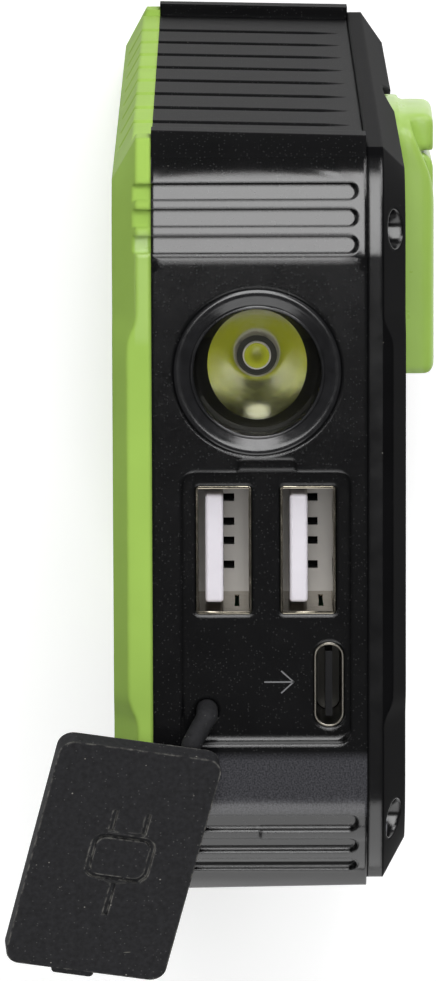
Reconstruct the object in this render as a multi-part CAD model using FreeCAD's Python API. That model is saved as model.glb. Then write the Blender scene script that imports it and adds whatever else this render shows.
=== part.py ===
import FreeCAD, Part

import math
import os

from FreeCAD import Placement, Rotation, Vector

# Hand-crank and solar power bank with a torch and USB ports, standing on its tail.  Millimetres.
# X runs across the width, Y through the thickness and Z along the length.
# The solar front faces -Y, the crank is on the +Y back, and the ports are on the +Z end.
# The origin is the middle of the flat tail face.

# ---- case ------------------------------------------------------------------
length = 136.0
front_half_width = 39.15        # main housing at its bezel joint
side_taper = 0.5                # and this much less a side at its cover joint
housing_depth = 21.7
corner_reach = 12.0             # the end starts to round this far in from the side
corner_drop = 6.5               # and meets the side this far below the end
wall = 2.2
seam_step = 0.2                 # bezel and cover stop this far short of the housing's ends

bezel_depth = 4.0
bezel_side_step = 0.7
bezel_land = 1.55               # straight edge before the chamfer, at the corners
bezel_middle_land = 2.5         # and in the middle of the ends
bezel_chamfer = 4.4
bezel_frame = 7.5               # green border between the window and the side

cover_depth = 4.0
cover_side_step = 1.05
cover_land = 1.65
cover_middle_land = 2.6
cover_side_chamfer = 2.9
cover_end_chamfer = 5.8
cover_wall = 2.0
swell_half_width = 17.5         # middle part of the ends, where the land is wider
swell_blend = 4.0               # each S-shaped change between the two lands

# ---- grooves ---------------------------------------------------------------
side_recess = 1.4               # ribbed middle of the long sides, below the raised ends
side_end = 9.5                  # each raised end, along the side
side_grooves = 8
side_groove_first = 25.2        # first groove's middle, below the port end
side_groove_last = 24.7         # last groove's middle, above the tail
side_groove_width = 2.6
side_groove_depth = 0.5
groove_tip = 3.2                # pointed tip of a side groove
groove_margin = 1.0             # from a groove's tip to the cover joint
chamfer_groove_share = 0.8      # how far the grooves go over the bezel's chamfer
end_groove_width = 1.75
end_groove_depth = 0.6
end_groove_pitch = 11.0         # degrees round the corner arc
end_groove_first = 4.8          # degrees from the flat end

# ---- solar front -----------------------------------------------------------
plate_thickness = 1.6
plate_lap = 4.0                 # plate behind the window's border
cell_thickness = 0.4
window_thickness = 0.8
cell_rows = 6
cell_gap = 0.6
cell_margin = 2.0
indicator_count = 4
indicator_radius = 0.9
indicator_pitch = 4.2

# ---- torch -----------------------------------------------------------------
torch_gap = 1.7                 # torch ring to the port pocket
torch_y = -0.2
ring_radius = 8.5
ring_land = 0.95                # flat top of the ring
ring_slope = 1.1                # bevelled part inside it
ring_height = 2.6
ring_rise = 0.2
ring_bevel = 1.3
lens_thickness = 1.2
mirror_rim = 0.15               # reflector's flat rim inside the ring
mirror_depth = 8.2
mirror_foot_radius = 1.75
reflector_wall = 0.8
led_gap = 0.3
led_base = 0.55
phosphor_border = 0.3
phosphor_rise = 0.3
led_board_thickness = 1.2

# ---- ports -----------------------------------------------------------------
recess_x0 = -5.2
recess_y0 = -7.9
recess_depth = 1.9
recess_radius = 1.4
recess_floor = 1.8
notch_half_width = 2.95
notch_reach = 1.3
notch_y = 0.75
usb_a_margin_x = 1.7            # square sockets to the pocket's inner end
usb_a_margin_front = 1.4        # to its front side
usb_a_margin_back = 1.45        # to its back side
usb_a_gap = 2.85                # between the two
usb_a_width = 13.2
usb_a_height = 5.7
usb_a_length = 14.0
usb_a_tongue_width = 11.1
usb_a_tongue_thickness = 1.84
usb_a_tongue_offset = -0.95     # from the socket's middle, towards the front
usb_a_tongue_edge = 0.35        # rounding of the tongue's end
usb_a_notch = (0.8, 1.13)       # opening beside the tongue for each contact, along X and Y
usb_a_spring_x = 2.9            # the shell's spring windows, either side of its middle
usb_a_spring_width = 2.2
usb_a_spring_length = 4.0
usb_a_spring_depth = 4.4        # from the mouth
usb_a_seam_y = 1.35             # slit in the shell's +X wall, from the socket's middle
usb_a_seam_width = 0.4
usb_a_seam_top = 3.0            # below the mouth
usb_a_seam_length = 6.5
usb_c_gap = 2.9                 # square to oval socket
usb_c_margin_x = 1.35           # oval socket to the pocket's outer end
usb_c_margin_back = 0.65
usb_c_width = 8.8
usb_c_height = 3.1
usb_c_length = 9.0
usb_shell_wall = 0.3
usb_c_tongue_width = 6.7
usb_c_tongue_thickness = 0.7
port_board_thickness = 1.6
port_board_lead = 1.5           # board beyond the pocket's inner end
port_board_gap = 4.25           # board's other end to the side wall
port_board_front_gap = 1.4
port_board_back_gap = 1.6

# ---- port cover ------------------------------------------------------------
stem_inset_x = 3.15             # from the pocket's outer end
stem_inset_y = 2.5              # and its front side
stem_radius = 1.1
stem_hole_radius = 1.18
stem_side = 3.0                 # stem's end to the flap's inner edge
stem_tuck = 0.4                 # stem's end under the flap's root
stem_rise = 1.2                 # straight part above the end face, up to the bend
cover_flap_thickness = 1.8
flap_clearance = 0.15
flap_radius = 1.6
flap_lift = 6.5                 # middle of the flap's upper edge above the end face
flap_inset_x = 0.65             # upper edge's middle, inside the pocket's outer end
flap_proud = 3.9                # and in front of the pocket
flap_yaw = -14.3                # degrees about Z
flap_droop = 21.0               # free end hangs below its root
flap_roll = -11.2               # inner edge is the lower one
tab_width = 4.4
neck_gap = 0.15                 # the stem's ball end below the flap
tab_reach = 0.9
barb_radius = 1.9
barb_length = 1.4

# ---- crank -----------------------------------------------------------------
tip_radius = 35.2               # crank axis to the arm's tip
arm_half_width = 9.6
flange_lip = 0.5                # base flange wider than the cheeks
base_thickness = 1.8
arm_clearance = 0.35            # between the arm and the dish
dish_depth = 1.6
dish_gap = 0.8                  # round the tip's path
arm_rise = 4.3                  # cheeks above the back face
cheek_thickness = 2.2
tip_corner = 4.0                # rounding of the tip's corners, seen from the back
arm_crown = 1.1                 # rounding along the arm's top
cheek_end_x = -6.05
cheek_corner = 1.1              # rounding of the cheeks' hub ends
cheek_fall = 10.7               # the cheeks start to fall this far before the tip
cheek_bend = (5.7, 4.7)         # the S's two bends, from the tip
cheek_tip_height = 0.9          # cheeks above the flange at the tip
hub_radius = 11.0
hub_cap_radius = 6.0
hub_cap_height = 0.7
shaft_radius = 2.0
grip_pin_radius = 0.7
grip_pin_inset = 7.0            # from the tip
pin_skin = 0.8                  # left over the pin's blind ends
grip_tail = 1.75                # grip's half thickness, round at the pin
grip_length = 20.0              # pin to the free end
fit_gap = 0.03                  # round parts that are fixed in each other
run_gap = 0.05                  # round parts that turn in each other
side_gap = 0.2                  # flat parts that pass each other

# ---- gear train ------------------------------------------------------------
drive_teeth = 48
drive_module = 0.8
idler_teeth = 42
idler_module = 0.6
pinion_teeth = 12
pressure_angle = 25.0
backlash = 0.12
idler_bearing = -54.3           # degrees from +X to +Z, seen from the front
generator_bearing = -140.5
gear_face = 2.4
gear_level_gap = 0.8
gear_boss_radius = 4.6
axle_radius = 1.0
gear_plate_thickness = 1.0
post_radius = 2.2
post_gap = 1.2                  # drive gear to the upper posts
post_lift = 4.0                 # upper posts above the crank's axis
low_post_gap = 4.0              # generator to the low posts
low_post_drop = 0.5

# ---- generator -------------------------------------------------------------
can_radius = 12.0
can_length = 9.8
can_wall = 0.6
magnet_radius = 7.0
coil_wall = 3.4
rotor_shaft_radius = 1.0

# ---- power -----------------------------------------------------------------
battery_side_gap = 4.55         # cell to the side walls
battery_port_gap = 6.5          # cell to the port board
battery_can_gap = 3.8           # and to the generator
battery_thickness = 8.2
battery_corner = 2.0
battery_pad_thickness = 0.5
battery_pad_margin = 6.0
main_board_side_gap = 5.55      # board to the -X side wall
main_board_tail_gap = 5.8       # and to the tail wall
main_board_can_gap = 1.2        # and to the generator
board_screw_insets = (4.0, 12.0)  # from the board's ends
board_thickness = 1.6
button_inset = 5.5              # button's middle below the board's upper edge
button_y = -5.6
button_length = 12.0
button_width = 5.0
button_rise = 0.8
button_travel = 0.6
button_flange = 1.0
button_post = 0.95              # between the flange and the switch's nose
button_gap = 0.1                # to the nose
button_lap = 0.3                # flange to the inside of the wall
switch_depth = 3.6
switch_nose = 0.6
chip_size = (6.0, 5.0, 1.2)     # along X, Z and Y
chip_count = 3
chip_stagger = 2.0
inductor_size = (6.5, 6.8, 4.0)  # along X, Z and Y
inductor_corner = 1.0

# ---- fasteners -------------------------------------------------------------
case_screw_side = 8.85          # from the widest side
case_screw_shift = 0.9          # all four lie this far towards +X
case_screw_inset = 3.6          # from the ends
case_screw_head = 1.85
case_screw_shank = 1.0
case_screw_lap = 1.15           # cover under a screw's head
case_screw_length = 10.0
case_boss_length = 10.85
counterbore_radius = 2.0
case_boss_radius = 3.0
small_screw_head = 1.7
small_screw_shank = 0.8
small_head_height = 1.0
board_screw_bite = 1.2          # into the carrier plate
gear_screw_bite = 5.0           # into the cover's posts
screw_play = 0.1                # round screws in through holes

# ---- levels worked out from the sizes above ---------------------------------
back_half_width = front_half_width - side_taper
front_joint = -housing_depth / 2
back_joint = housing_depth / 2
front_face = front_joint - bezel_depth
back_face = back_joint + cover_depth
middle_z = length / 2
corner_x = front_half_width - corner_reach
corner_radius = (corner_reach ** 2 + corner_drop ** 2) / (2 * corner_drop)
usb_a_x = recess_x0 + usb_a_margin_x + usb_a_width / 2
usb_a_y1 = recess_y0 + usb_a_margin_front + usb_a_height / 2
usb_a_ys = (usb_a_y1, usb_a_y1 + usb_a_height + usb_a_gap)
usb_c_x = usb_a_x + usb_a_width / 2 + usb_c_gap + usb_c_width / 2
recess_x1 = usb_c_x + usb_c_width / 2 + usb_c_margin_x
recess_y1 = usb_a_ys[1] + usb_a_height / 2 + usb_a_margin_back
recess_width = recess_x1 - recess_x0
recess_height = recess_y1 - recess_y0
usb_c_y = recess_y1 - usb_c_margin_back - usb_c_height / 2
stem_x = recess_x1 - stem_inset_x
stem_y = recess_y0 + stem_inset_y
flap_top_x = recess_x1 - flap_inset_x
flap_top_y = recess_y0 - flap_proud
recess_z = length - recess_depth
window_half_width = front_half_width - bezel_side_step - bezel_frame
window_half_length = length / 2 - bezel_frame - 1.5
plate_back = front_joint - side_gap
plate_front = plate_back - plate_thickness
cell_front = plate_front - cell_thickness
dish_floor = back_face - dish_depth
grip_pin_x = grip_pin_inset - tip_radius
grip_free_x = grip_pin_x + grip_length
dish_radius = tip_radius + dish_gap
cover_inside = dish_floor - cover_wall
base_bottom = dish_floor + arm_clearance
base_top = base_bottom + base_thickness
arm_top = back_face + arm_rise
grip_bottom = base_top + side_gap
grip_axis_y = grip_bottom + grip_tail
grip_top = grip_axis_y + grip_tail
pin_reach = arm_half_width - flange_lip - pin_skin
drive_front = cover_inside - 2 * gear_level_gap - gear_face
idler_front = drive_front - gear_level_gap - gear_face
gear_plate_back = idler_front - gear_level_gap
gear_plate_front = gear_plate_back - gear_plate_thickness
side_x = front_half_width - side_recess
inside_x = side_x - wall
side_groove_pitch = (length - side_groove_first - side_groove_last) / (side_grooves - 1)
case_screw_x = front_half_width - case_screw_side
drive_radius = drive_module * drive_teeth / 2
drive_distance = drive_module * (drive_teeth + pinion_teeth) / 2
rotor_distance = idler_module * (idler_teeth + pinion_teeth) / 2
idler_x = drive_distance * math.cos(math.radians(idler_bearing))
idler_z = middle_z + drive_distance * math.sin(math.radians(idler_bearing))
rotor_x = idler_x + rotor_distance * math.cos(math.radians(generator_bearing))
rotor_z = idler_z + rotor_distance * math.sin(math.radians(generator_bearing))
can_front = gear_plate_front - can_length
ring_bottom = length + ring_rise - ring_height
lens_bottom = ring_bottom - lens_thickness
reflector_bottom = lens_bottom - mirror_depth
torch_x = recess_x0 - torch_gap - ring_radius
ring_land_radius = ring_radius - ring_land
ring_bore_radius = ring_land_radius - ring_slope
mirror_radius = ring_bore_radius - mirror_rim
led_radius = mirror_foot_radius - led_gap
phosphor_radius = led_radius - phosphor_border
torch_pocket_radius = ring_land_radius
port_board_top = recess_z - usb_a_length
board_back = front_joint + wall
case_screw_seat = back_joint + case_screw_lap
button_flange_x = back_half_width - side_recess - wall - button_lap
main_board_x1 = button_flange_x - button_flange - button_post - button_travel - button_gap - switch_nose
main_board_x0 = main_board_side_gap - inside_x
main_board_z0 = wall + main_board_tail_gap
main_board_z1 = rotor_z - can_radius - main_board_can_gap
main_board_middle = (main_board_z0 + main_board_z1) / 2
button_z = main_board_z1 - button_inset
battery_half_width = inside_x - battery_side_gap
battery_z0 = rotor_z + can_radius + battery_can_gap
battery_z1 = port_board_top - port_board_thickness - battery_port_gap
X, Y, Z = Vector(1, 0, 0), Vector(0, 1, 0), Vector(0, 0, 1)


# ---- shape helpers ----------------------------------------------------------
def box(x0, x1, y0, y1, z0, z1):
    """A block between two corners."""
    return Part.makeBox(x1 - x0, y1 - y0, z1 - z0, Vector(x0, y0, z0))


def rod(radius, start, direction, reach):
    """A round bar from start along direction."""
    return Part.makeCylinder(radius, reach, start, direction)


def y_rod(radius, x, z, y0, y1):
    """A round bar along Y at (x, z)."""
    return rod(radius, Vector(x, y0, z), Y, y1 - y0)


def z_rod(radius, x, y, z0, z1):
    """A round bar along Z at (x, y)."""
    return rod(radius, Vector(x, y, z0), Z, z1 - z0)


def slab(x0, x1, y0, y1, z0, z1, radius):
    """A block whose four edges along Z are rounded."""
    solid = box(x0, x1, y0, y1, z0, z1)
    upright = [e for e in solid.Edges if abs(e.Vertexes[0].Z - e.Vertexes[-1].Z) > (z1 - z0) / 2]
    return solid.makeFillet(radius, upright)


def fused(first, *others):
    """One solid from several."""
    return first.fuse(list(others)).removeSplitter()


def cut(body, *tools):
    """The body without the tools."""
    return body.cut(Part.makeCompound(list(tools)))


def turned(points, centre):
    """A solid of revolution about Z through centre; points are (radius, z), closed back to the first."""
    corners = [centre + Vector(r, 0, z) for r, z in points]
    profile = Part.Face(Part.makePolygon(corners + corners[:1]))
    return profile.revolve(centre, Z, 360)


def spread(shape, centres):
    """Copies of a shape, one at each centre."""
    copies = []
    for centre in centres:
        copy = shape.copy()
        copy.translate(centre)
        copies.append(copy)
    return Part.makeCompound(copies)


def both_ends(shape):
    """A shape and its mirror image at the other end of the case."""
    return [shape, shape.mirror(Vector(0, 0, middle_z), Z)]


def save(name, shape):
    """Writes one sub-part."""
    shape.exportStep(f"parts/{name}.step")


# ---- case outlines ----------------------------------------------------------
def outline(y, half_width, end_inset):
    """The case's outline at one level: flat ends, corner arcs and straight sides."""
    radius = corner_radius - end_inset
    sweep = math.asin((half_width - corner_x) / radius)

    def corner(side, end):
        points = []
        for angle in (0, sweep / 2, sweep):
            x = corner_x + radius * math.sin(angle)
            z = middle_z + end * (middle_z - corner_radius + radius * math.cos(angle))
            points.append(Vector(side * x, y, z))
        return points

    def arc(points):
        return Part.Arc(*points).toShape()

    def line(a, b):
        return Part.makeLine(a, b)

    top_right, low_right = corner(1, 1), corner(1, -1)
    low_left, top_left = corner(-1, -1), corner(-1, 1)
    return Part.Wire([
        arc(top_right), line(top_right[2], low_right[2]),
        arc(low_right[::-1]), line(low_right[0], low_left[0]),
        arc(low_left), line(low_left[2], top_left[2]),
        arc(top_left[::-1]), line(top_left[0], top_right[0]),
    ])


def loft(*wires):
    """A straight-sided solid through outlines."""
    return Part.makeLoft(list(wires), True, True)


def dome_frame(joint, side, half_width, depth, land, middle_land, side_chamfer, end_chamfer):
    """A shell cap on one joint of the housing: a straight land, then a chamfer to the flat face.

    The land is wider in the middle of both ends, with an S-shaped change at each side of it.
    """
    land_y = joint + side * land
    face_y = joint + side * depth
    rise = depth - land
    base = loft(outline(joint, half_width, seam_step), outline(land_y, half_width, seam_step))
    cap = loft(outline(land_y, half_width, seam_step),
               outline(face_y, half_width - side_chamfer, seam_step + end_chamfer))
    full = loft(outline(joint, half_width, seam_step), outline(face_y, half_width, seam_step))
    outer = swell_half_width + swell_blend
    top = length - seam_step
    middle_y = joint + side * middle_land

    def bend(x0, y0, x1, y1):
        centre = (x0 + x1) / 2
        curve = Part.BezierCurve()
        curve.setPoles([Vector(x0, y0, top), Vector(centre, y0, top),
                        Vector(centre, y1, top), Vector(x1, y1, top)])
        return curve.toShape()

    root_y = joint + side * land / 2
    corners = [Vector(outer, land_y, top), Vector(outer, root_y, top),
               Vector(-outer, root_y, top), Vector(-outer, land_y, top)]
    edges = [
        bend(-outer, land_y, -swell_half_width, middle_y),
        Part.makeLine(Vector(-swell_half_width, middle_y, top), Vector(swell_half_width, middle_y, top)),
        bend(swell_half_width, middle_y, outer, land_y),
        Part.makeLine(corners[0], corners[1]),
        Part.makeLine(corners[1], corners[2]),
        Part.makeLine(corners[2], corners[3]),
    ]
    swell = Part.Face(Part.Wire(edges)).extrude(Vector(0, side * rise, -end_chamfer))
    swells = [s.common(full) for s in both_ends(swell)]
    return fused(base, cap, *swells)


# ---- grooves ----------------------------------------------------------------
def side_groove_tool(side, surface_x, depth, y0, y1):
    """Pointed round bars that cut the grooves of one long side."""
    radius = ((side_groove_width / 2) ** 2 + side_groove_depth ** 2) / (2 * side_groove_depth)
    axis_x = side * (surface_x + radius - depth)
    bars = []
    for index in range(side_grooves):
        z = length - side_groove_first - index * side_groove_pitch
        start = Vector(axis_x, y0, z)
        bars.append(rod(radius, start, Y, y1 - groove_tip - y0))
        foot = Vector(axis_x, y1 - groove_tip, z)
        bars.append(Part.makeCone(radius, radius - depth * 1.02, groove_tip, foot, Y))
    return bars


def flank(side, y0, y1):
    """What the recess between the raised ends takes off one long side."""
    x0, x1 = sorted((side * side_x, side * (side_x + 5)))
    return box(x0, x1, y0, y1, side_end, length - side_end)


def chamfer_groove_tool(side, half_width):
    """Round bars that carry the side grooves on over the bezel's chamfer."""
    radius = ((side_groove_width / 2) ** 2 + side_groove_depth ** 2) / (2 * side_groove_depth)
    slope = Vector(-side * bezel_chamfer, bezel_land - bezel_depth, 0)
    run = slope.Length
    along = slope / run
    out = Vector(side * (bezel_depth - bezel_land), -bezel_chamfer, 0) / run
    edge = Vector(side * half_width, front_joint - bezel_land, 0)
    start = edge - along * 2 + out * (radius - side_groove_depth)
    bars = []
    for index in range(side_grooves):
        z = length - side_groove_first - index * side_groove_pitch
        bars.append(rod(radius, start + Vector(0, 0, z), along, 2 + run * chamfer_groove_share))
    return bars


def end_groove_tools(y0, y1, inset=0.0):
    """Blind slots along Y on the corner arcs: three on each side, one step further out on +X."""
    tools = []
    for side, first in ((-1, 0), (1, 1)):
        for index in range(first, first + 3):
            angle = end_groove_first + index * end_groove_pitch
            half = end_groove_width / 2
            low = corner_radius - inset - end_groove_depth
            bar = box(-half, half, y0, y1 - half, low, low + 3)
            nose = z_rod(half, 0, y1 - half, low, low + 3)
            slot = bar.fuse(nose)
            slot.rotate(Vector(0, 0, 0), Y, side * angle)
            slot.translate(Vector(side * corner_x, 0, length - corner_radius))
            tools.extend(both_ends(slot))
    return tools


# ---- main housing -----------------------------------------------------------
def screw_spots():
    """The four case screws, as (x, z)."""
    xs = (case_screw_shift - case_screw_x, case_screw_shift + case_screw_x)
    return [(x, z) for x in xs for z in (case_screw_inset, length - case_screw_inset)]


def port_recess():
    """The pocket that the rubber cover closes, with its thumb notch."""
    pocket = slab(recess_x0, recess_x1, recess_y0, recess_y1, recess_z, length + 1, recess_radius)
    notch = slab(recess_x0 - notch_reach, recess_x0 + recess_radius, notch_y - notch_half_width,
                 notch_y + notch_half_width, length - recess_depth * 0.6, length + 1, 0.6)
    return pocket, notch


def socket_hole(x, y, width, height, radius):
    """A hole through the recess floor for one socket."""
    return slab(x - width / 2 - fit_gap, x + width / 2 + fit_gap, y - height / 2 - fit_gap,
                y + height / 2 + fit_gap, recess_z - recess_floor - 1, recess_z + 1, radius)


def button_hole(gap, x0, x1):
    """The power button's rounded-end section, grown by gap, from x0 to x1."""
    half = button_width / 2 + gap
    run = (button_length - button_width) / 2
    bar = box(x0, x1, button_y - half, button_y + half, button_z - run, button_z + run)
    ends = [rod(half, Vector(x0, button_y, button_z + s * run), X, x1 - x0) for s in (-1, 1)]
    return fused(bar, *ends)


def main_housing():
    """The ribbed middle frame, open at the front and the back, with the port end."""
    body = loft(outline(front_joint, front_half_width, 0), outline(back_joint, back_half_width, 0))
    tunnel = loft(outline(front_joint - 1, inside_x, wall),
                  outline(back_joint + 1, inside_x - side_taper, wall))
    shell = cut(body, tunnel)
    pad = box(recess_x0 - wall, recess_x1 + wall, front_joint, back_joint,
              recess_z - recess_floor, length - wall / 2)
    torch_tube = z_rod(torch_pocket_radius + wall, torch_x, torch_y, reflector_bottom, length - wall / 2)
    bosses = [y_rod(case_boss_radius, x, z, back_joint - case_boss_length, back_joint)
              for x, z in screw_spots()]
    shell = fused(shell, pad.common(body), torch_tube.common(body), *bosses)
    side_tools = []
    for side in (-1, 1):
        slant = math.degrees(math.atan((front_half_width - back_half_width) / housing_depth))
        bars = Part.makeCompound([flank(side, front_joint - 2, back_joint + 2)] + side_groove_tool(
            side, side_x, side_groove_depth, front_joint - 2, back_joint - groove_margin))
        bars.rotate(Vector(side * front_half_width, front_joint, 0), Z, side * slant)
        side_tools.append(bars)
    holes = [socket_hole(usb_a_x, y, usb_a_width, usb_a_height, 0.4) for y in usb_a_ys]
    holes.append(socket_hole(usb_c_x, usb_c_y, usb_c_width, usb_c_height, usb_c_height / 2 - 0.05))
    holes.append(z_rod(stem_hole_radius, stem_x, stem_y, recess_z - recess_floor - 1, recess_z + 1))
    holes.append(z_rod(ring_radius + fit_gap, torch_x, torch_y, ring_bottom, length + 1))
    holes.append(z_rod(torch_pocket_radius, torch_x, torch_y, reflector_bottom - 3, length))
    screw_foot = case_screw_seat - case_screw_length - 0.5
    screw_holes = [y_rod(case_screw_shank + fit_gap, x, z, screw_foot, back_joint + 1)
                   for x, z in screw_spots()]
    holes.append(button_hole(0.15, inside_x - 3, front_half_width + 1))
    return cut(shell, *side_tools, *end_groove_tools(front_joint - 2, back_joint - groove_margin),
               *port_recess(), *holes, *screw_holes)


# ---- front ------------------------------------------------------------------
def indicator_spots():
    """The charge lights in the lower border, as x."""
    return [(i - (indicator_count - 1) / 2) * indicator_pitch for i in range(indicator_count)]


indicator_z = middle_z - window_half_length - 2.6


def front_bezel():
    """The green chamfered frame around the solar panel."""
    half_width = front_half_width - bezel_side_step
    shell = dome_frame(front_joint, -1, half_width, bezel_depth, bezel_land, bezel_middle_land,
                       bezel_chamfer, bezel_chamfer)
    window = box(-window_half_width, window_half_width, front_face - 1, front_joint + 1,
                 middle_z - window_half_length, middle_z + window_half_length)
    rebate = plate_block(side_gap, plate_front, front_joint + 1)
    lights = [y_rod(indicator_radius + fit_gap, x, indicator_z, front_face - 1, front_joint)
              for x in indicator_spots()]
    grooves = []
    for side in (-1, 1):
        grooves.append(flank(side, front_face - 1, front_joint + 1))
        grooves += side_groove_tool(side, side_x, side_groove_depth, front_face - 2,
                                    front_joint + groove_tip + 1)
        grooves += chamfer_groove_tool(side, half_width)
    return cut(shell, window, rebate, *lights, *grooves,
               *end_groove_tools(front_face - 1, front_joint + 2, seam_step))


def plate_block(gap, y0, y1):
    """The carrier plate's block, grown by gap at its edges."""
    half_x = window_half_width + plate_lap + gap
    half_z = window_half_length + plate_lap + gap
    return box(-half_x, half_x, y0, y1, middle_z - half_z, middle_z + half_z)


def front_plate():
    """The black carrier plate behind the solar panel, with two bosses for the main board."""
    bosses = [y_rod(post_radius, x, z, plate_back - 0.5, board_back - board_thickness)
              for x, z in board_screw_spots()]
    ways = [y_rod(small_screw_shank + fit_gap, x, z, plate_back - board_screw_bite, board_back)
            for x, z in board_screw_spots()]
    return cut(fused(plate_block(0, plate_front, plate_back), *bosses), *ways)


def solar_cells():
    """A column of cell strips on the carrier plate."""
    half_x = window_half_width - cell_margin
    span = 2 * (window_half_length - cell_margin)
    pitch = (span + cell_gap) / cell_rows
    first = middle_z - span / 2
    strip = box(-half_x, half_x, cell_front, plate_front, first, first + pitch - cell_gap)
    return spread(strip, [Vector(0, 0, i * pitch) for i in range(cell_rows)])


def solar_window():
    """The clear sheet over the cells."""
    half_x = window_half_width - side_gap
    half_z = window_half_length - side_gap
    return box(-half_x, half_x, cell_front - window_thickness, cell_front, middle_z - half_z,
               middle_z + half_z)


def indicator_lenses():
    """Light pipes for the charge lights."""
    lens = y_rod(indicator_radius, 0, indicator_z, front_face + 0.05, plate_front)
    return spread(lens, [Vector(x, 0, 0) for x in indicator_spots()])


# ---- back -------------------------------------------------------------------
def gear_post_spots():
    """The posts that carry the gear plate, as (x, z)."""
    clear = drive_radius + drive_module + post_radius + post_gap
    low_z = rotor_z - can_radius - low_post_drop
    reach = can_radius + low_post_gap
    return [(-clear, middle_z + post_lift), (clear, middle_z + post_lift), (rotor_x - reach, low_z),
            (rotor_x + reach, low_z)]


def back_cover():
    """The black back shell with the crank's dish, bearing boss and gear posts."""
    half_width = back_half_width - cover_side_step
    shell = dome_frame(back_joint, 1, half_width, cover_depth, cover_land,
                       cover_middle_land, cover_side_chamfer, cover_end_chamfer)
    half_x = half_width - wall - cover_side_chamfer
    pocket = box(-half_x, half_x, back_joint - 1, back_face - cover_wall,
                 3 * case_screw_inset, length - 3 * case_screw_inset)
    rim = loft(outline(cover_inside, half_width, seam_step), outline(dish_floor, half_width, seam_step))
    floor = y_rod(dish_radius + cover_wall, 0, middle_z, cover_inside, back_joint + cover_land).common(rim)
    posts = [y_rod(post_radius, x, z, gear_plate_back, back_face - cover_wall / 2)
             for x, z in gear_post_spots()]
    boss_y = drive_front + gear_face + gear_level_gap
    bearing = y_rod(gear_boss_radius, 0, middle_z, boss_y, cover_inside + 1)
    axle_boss = y_rod(gear_boss_radius / 2, idler_x, idler_z, boss_y, cover_inside + 1)
    keep = y_rod(dish_radius + cover_wall, 0, middle_z, back_joint, dish_floor)
    shell = fused(cut(shell, cut(pocket, keep)), floor, bearing, axle_boss, *posts)
    dish = y_rod(dish_radius, 0, middle_z, dish_floor, back_face + 1)
    shaft_hole = y_rod(shaft_radius + run_gap, 0, middle_z, drive_front, back_face)
    axle_hole = y_rod(axle_radius + fit_gap, idler_x, idler_z, drive_front, cover_inside + 0.6)
    post_holes = [y_rod(small_screw_shank + fit_gap, x, z, gear_plate_back - 1,
                        gear_plate_back + gear_screw_bite + 1) for x, z in gear_post_spots()]
    screw_holes = []
    for x, z in screw_spots():
        screw_holes.append(y_rod(case_screw_shank + 2 * screw_play, x, z, back_joint - 1, back_face))
        screw_holes.append(y_rod(counterbore_radius, x, z, case_screw_seat, back_face + 1))
    return cut(shell, dish, shaft_hole, axle_hole, *post_holes, *screw_holes)


def case_screws():
    """The four screws that hold the cover to the housing."""
    head = y_rod(case_screw_head, 0, 0, case_screw_seat, case_screw_seat + 0.9)
    shank = y_rod(case_screw_shank, 0, 0, case_screw_seat - case_screw_length, case_screw_seat)
    socket = box(-0.2, 0.2, case_screw_seat + 0.45, case_screw_seat + 1, -1.1, 1.1)
    cross = box(-1.1, 1.1, case_screw_seat + 0.45, case_screw_seat + 1, -0.2, 0.2)
    screw = cut(fused(head, shank), socket, cross)
    return spread(screw, [Vector(x, 0, z) for x, z in screw_spots()])


# ---- torch ------------------------------------------------------------------
torch_centre = Vector(torch_x, torch_y, 0)


def lamp_ring():
    """The bevelled ring round the lens."""
    top = length + ring_rise
    arris = 0.25
    profile = [(ring_bore_radius, ring_bottom), (ring_radius, ring_bottom), (ring_radius, top - arris),
               (ring_radius - arris, top), (ring_land_radius, top), (ring_bore_radius, top - ring_bevel)]
    return turned(profile, torch_centre)


def lamp_lens():
    """The clear disc under the ring."""
    return z_rod(torch_pocket_radius - fit_gap, torch_x, torch_y, lens_bottom, ring_bottom)


def reflector():
    """The bright cup that stands behind the lens."""
    steps = 8
    inside = []
    for index in range(steps + 1):
        share = index / steps
        z = reflector_bottom + mirror_depth * share
        swing = mirror_foot_radius ** 2 + (mirror_radius ** 2 - mirror_foot_radius ** 2) * share
        inside.append((math.sqrt(swing), z))
    rim = torch_pocket_radius - fit_gap
    outside = [(rim, lens_bottom), (rim, lens_bottom - reflector_wall)]
    outside += [(r + reflector_wall, z) for r, z in inside[steps - 1:0:-1]]
    outside.append((mirror_foot_radius + reflector_wall, reflector_bottom))
    return turned(inside + outside, torch_centre)


def led_board():
    """The round board behind the reflector."""
    return z_rod(torch_pocket_radius - fit_gap, torch_x, torch_y,
                 reflector_bottom - led_board_thickness, reflector_bottom)


def torch_led():
    """The round LED package with its low phosphor dome, inside the reflector's foot."""
    top = reflector_bottom + led_base
    base = z_rod(led_radius, torch_x, torch_y, reflector_bottom, top)
    sphere_radius = (phosphor_radius ** 2 + phosphor_rise ** 2) / (2 * phosphor_rise)
    sphere = Part.makeSphere(sphere_radius, Vector(torch_x, torch_y, top + phosphor_rise - sphere_radius))
    dome = sphere.common(z_rod(phosphor_radius, torch_x, torch_y, top - 0.1, top + 1))
    return fused(base, dome)


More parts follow.
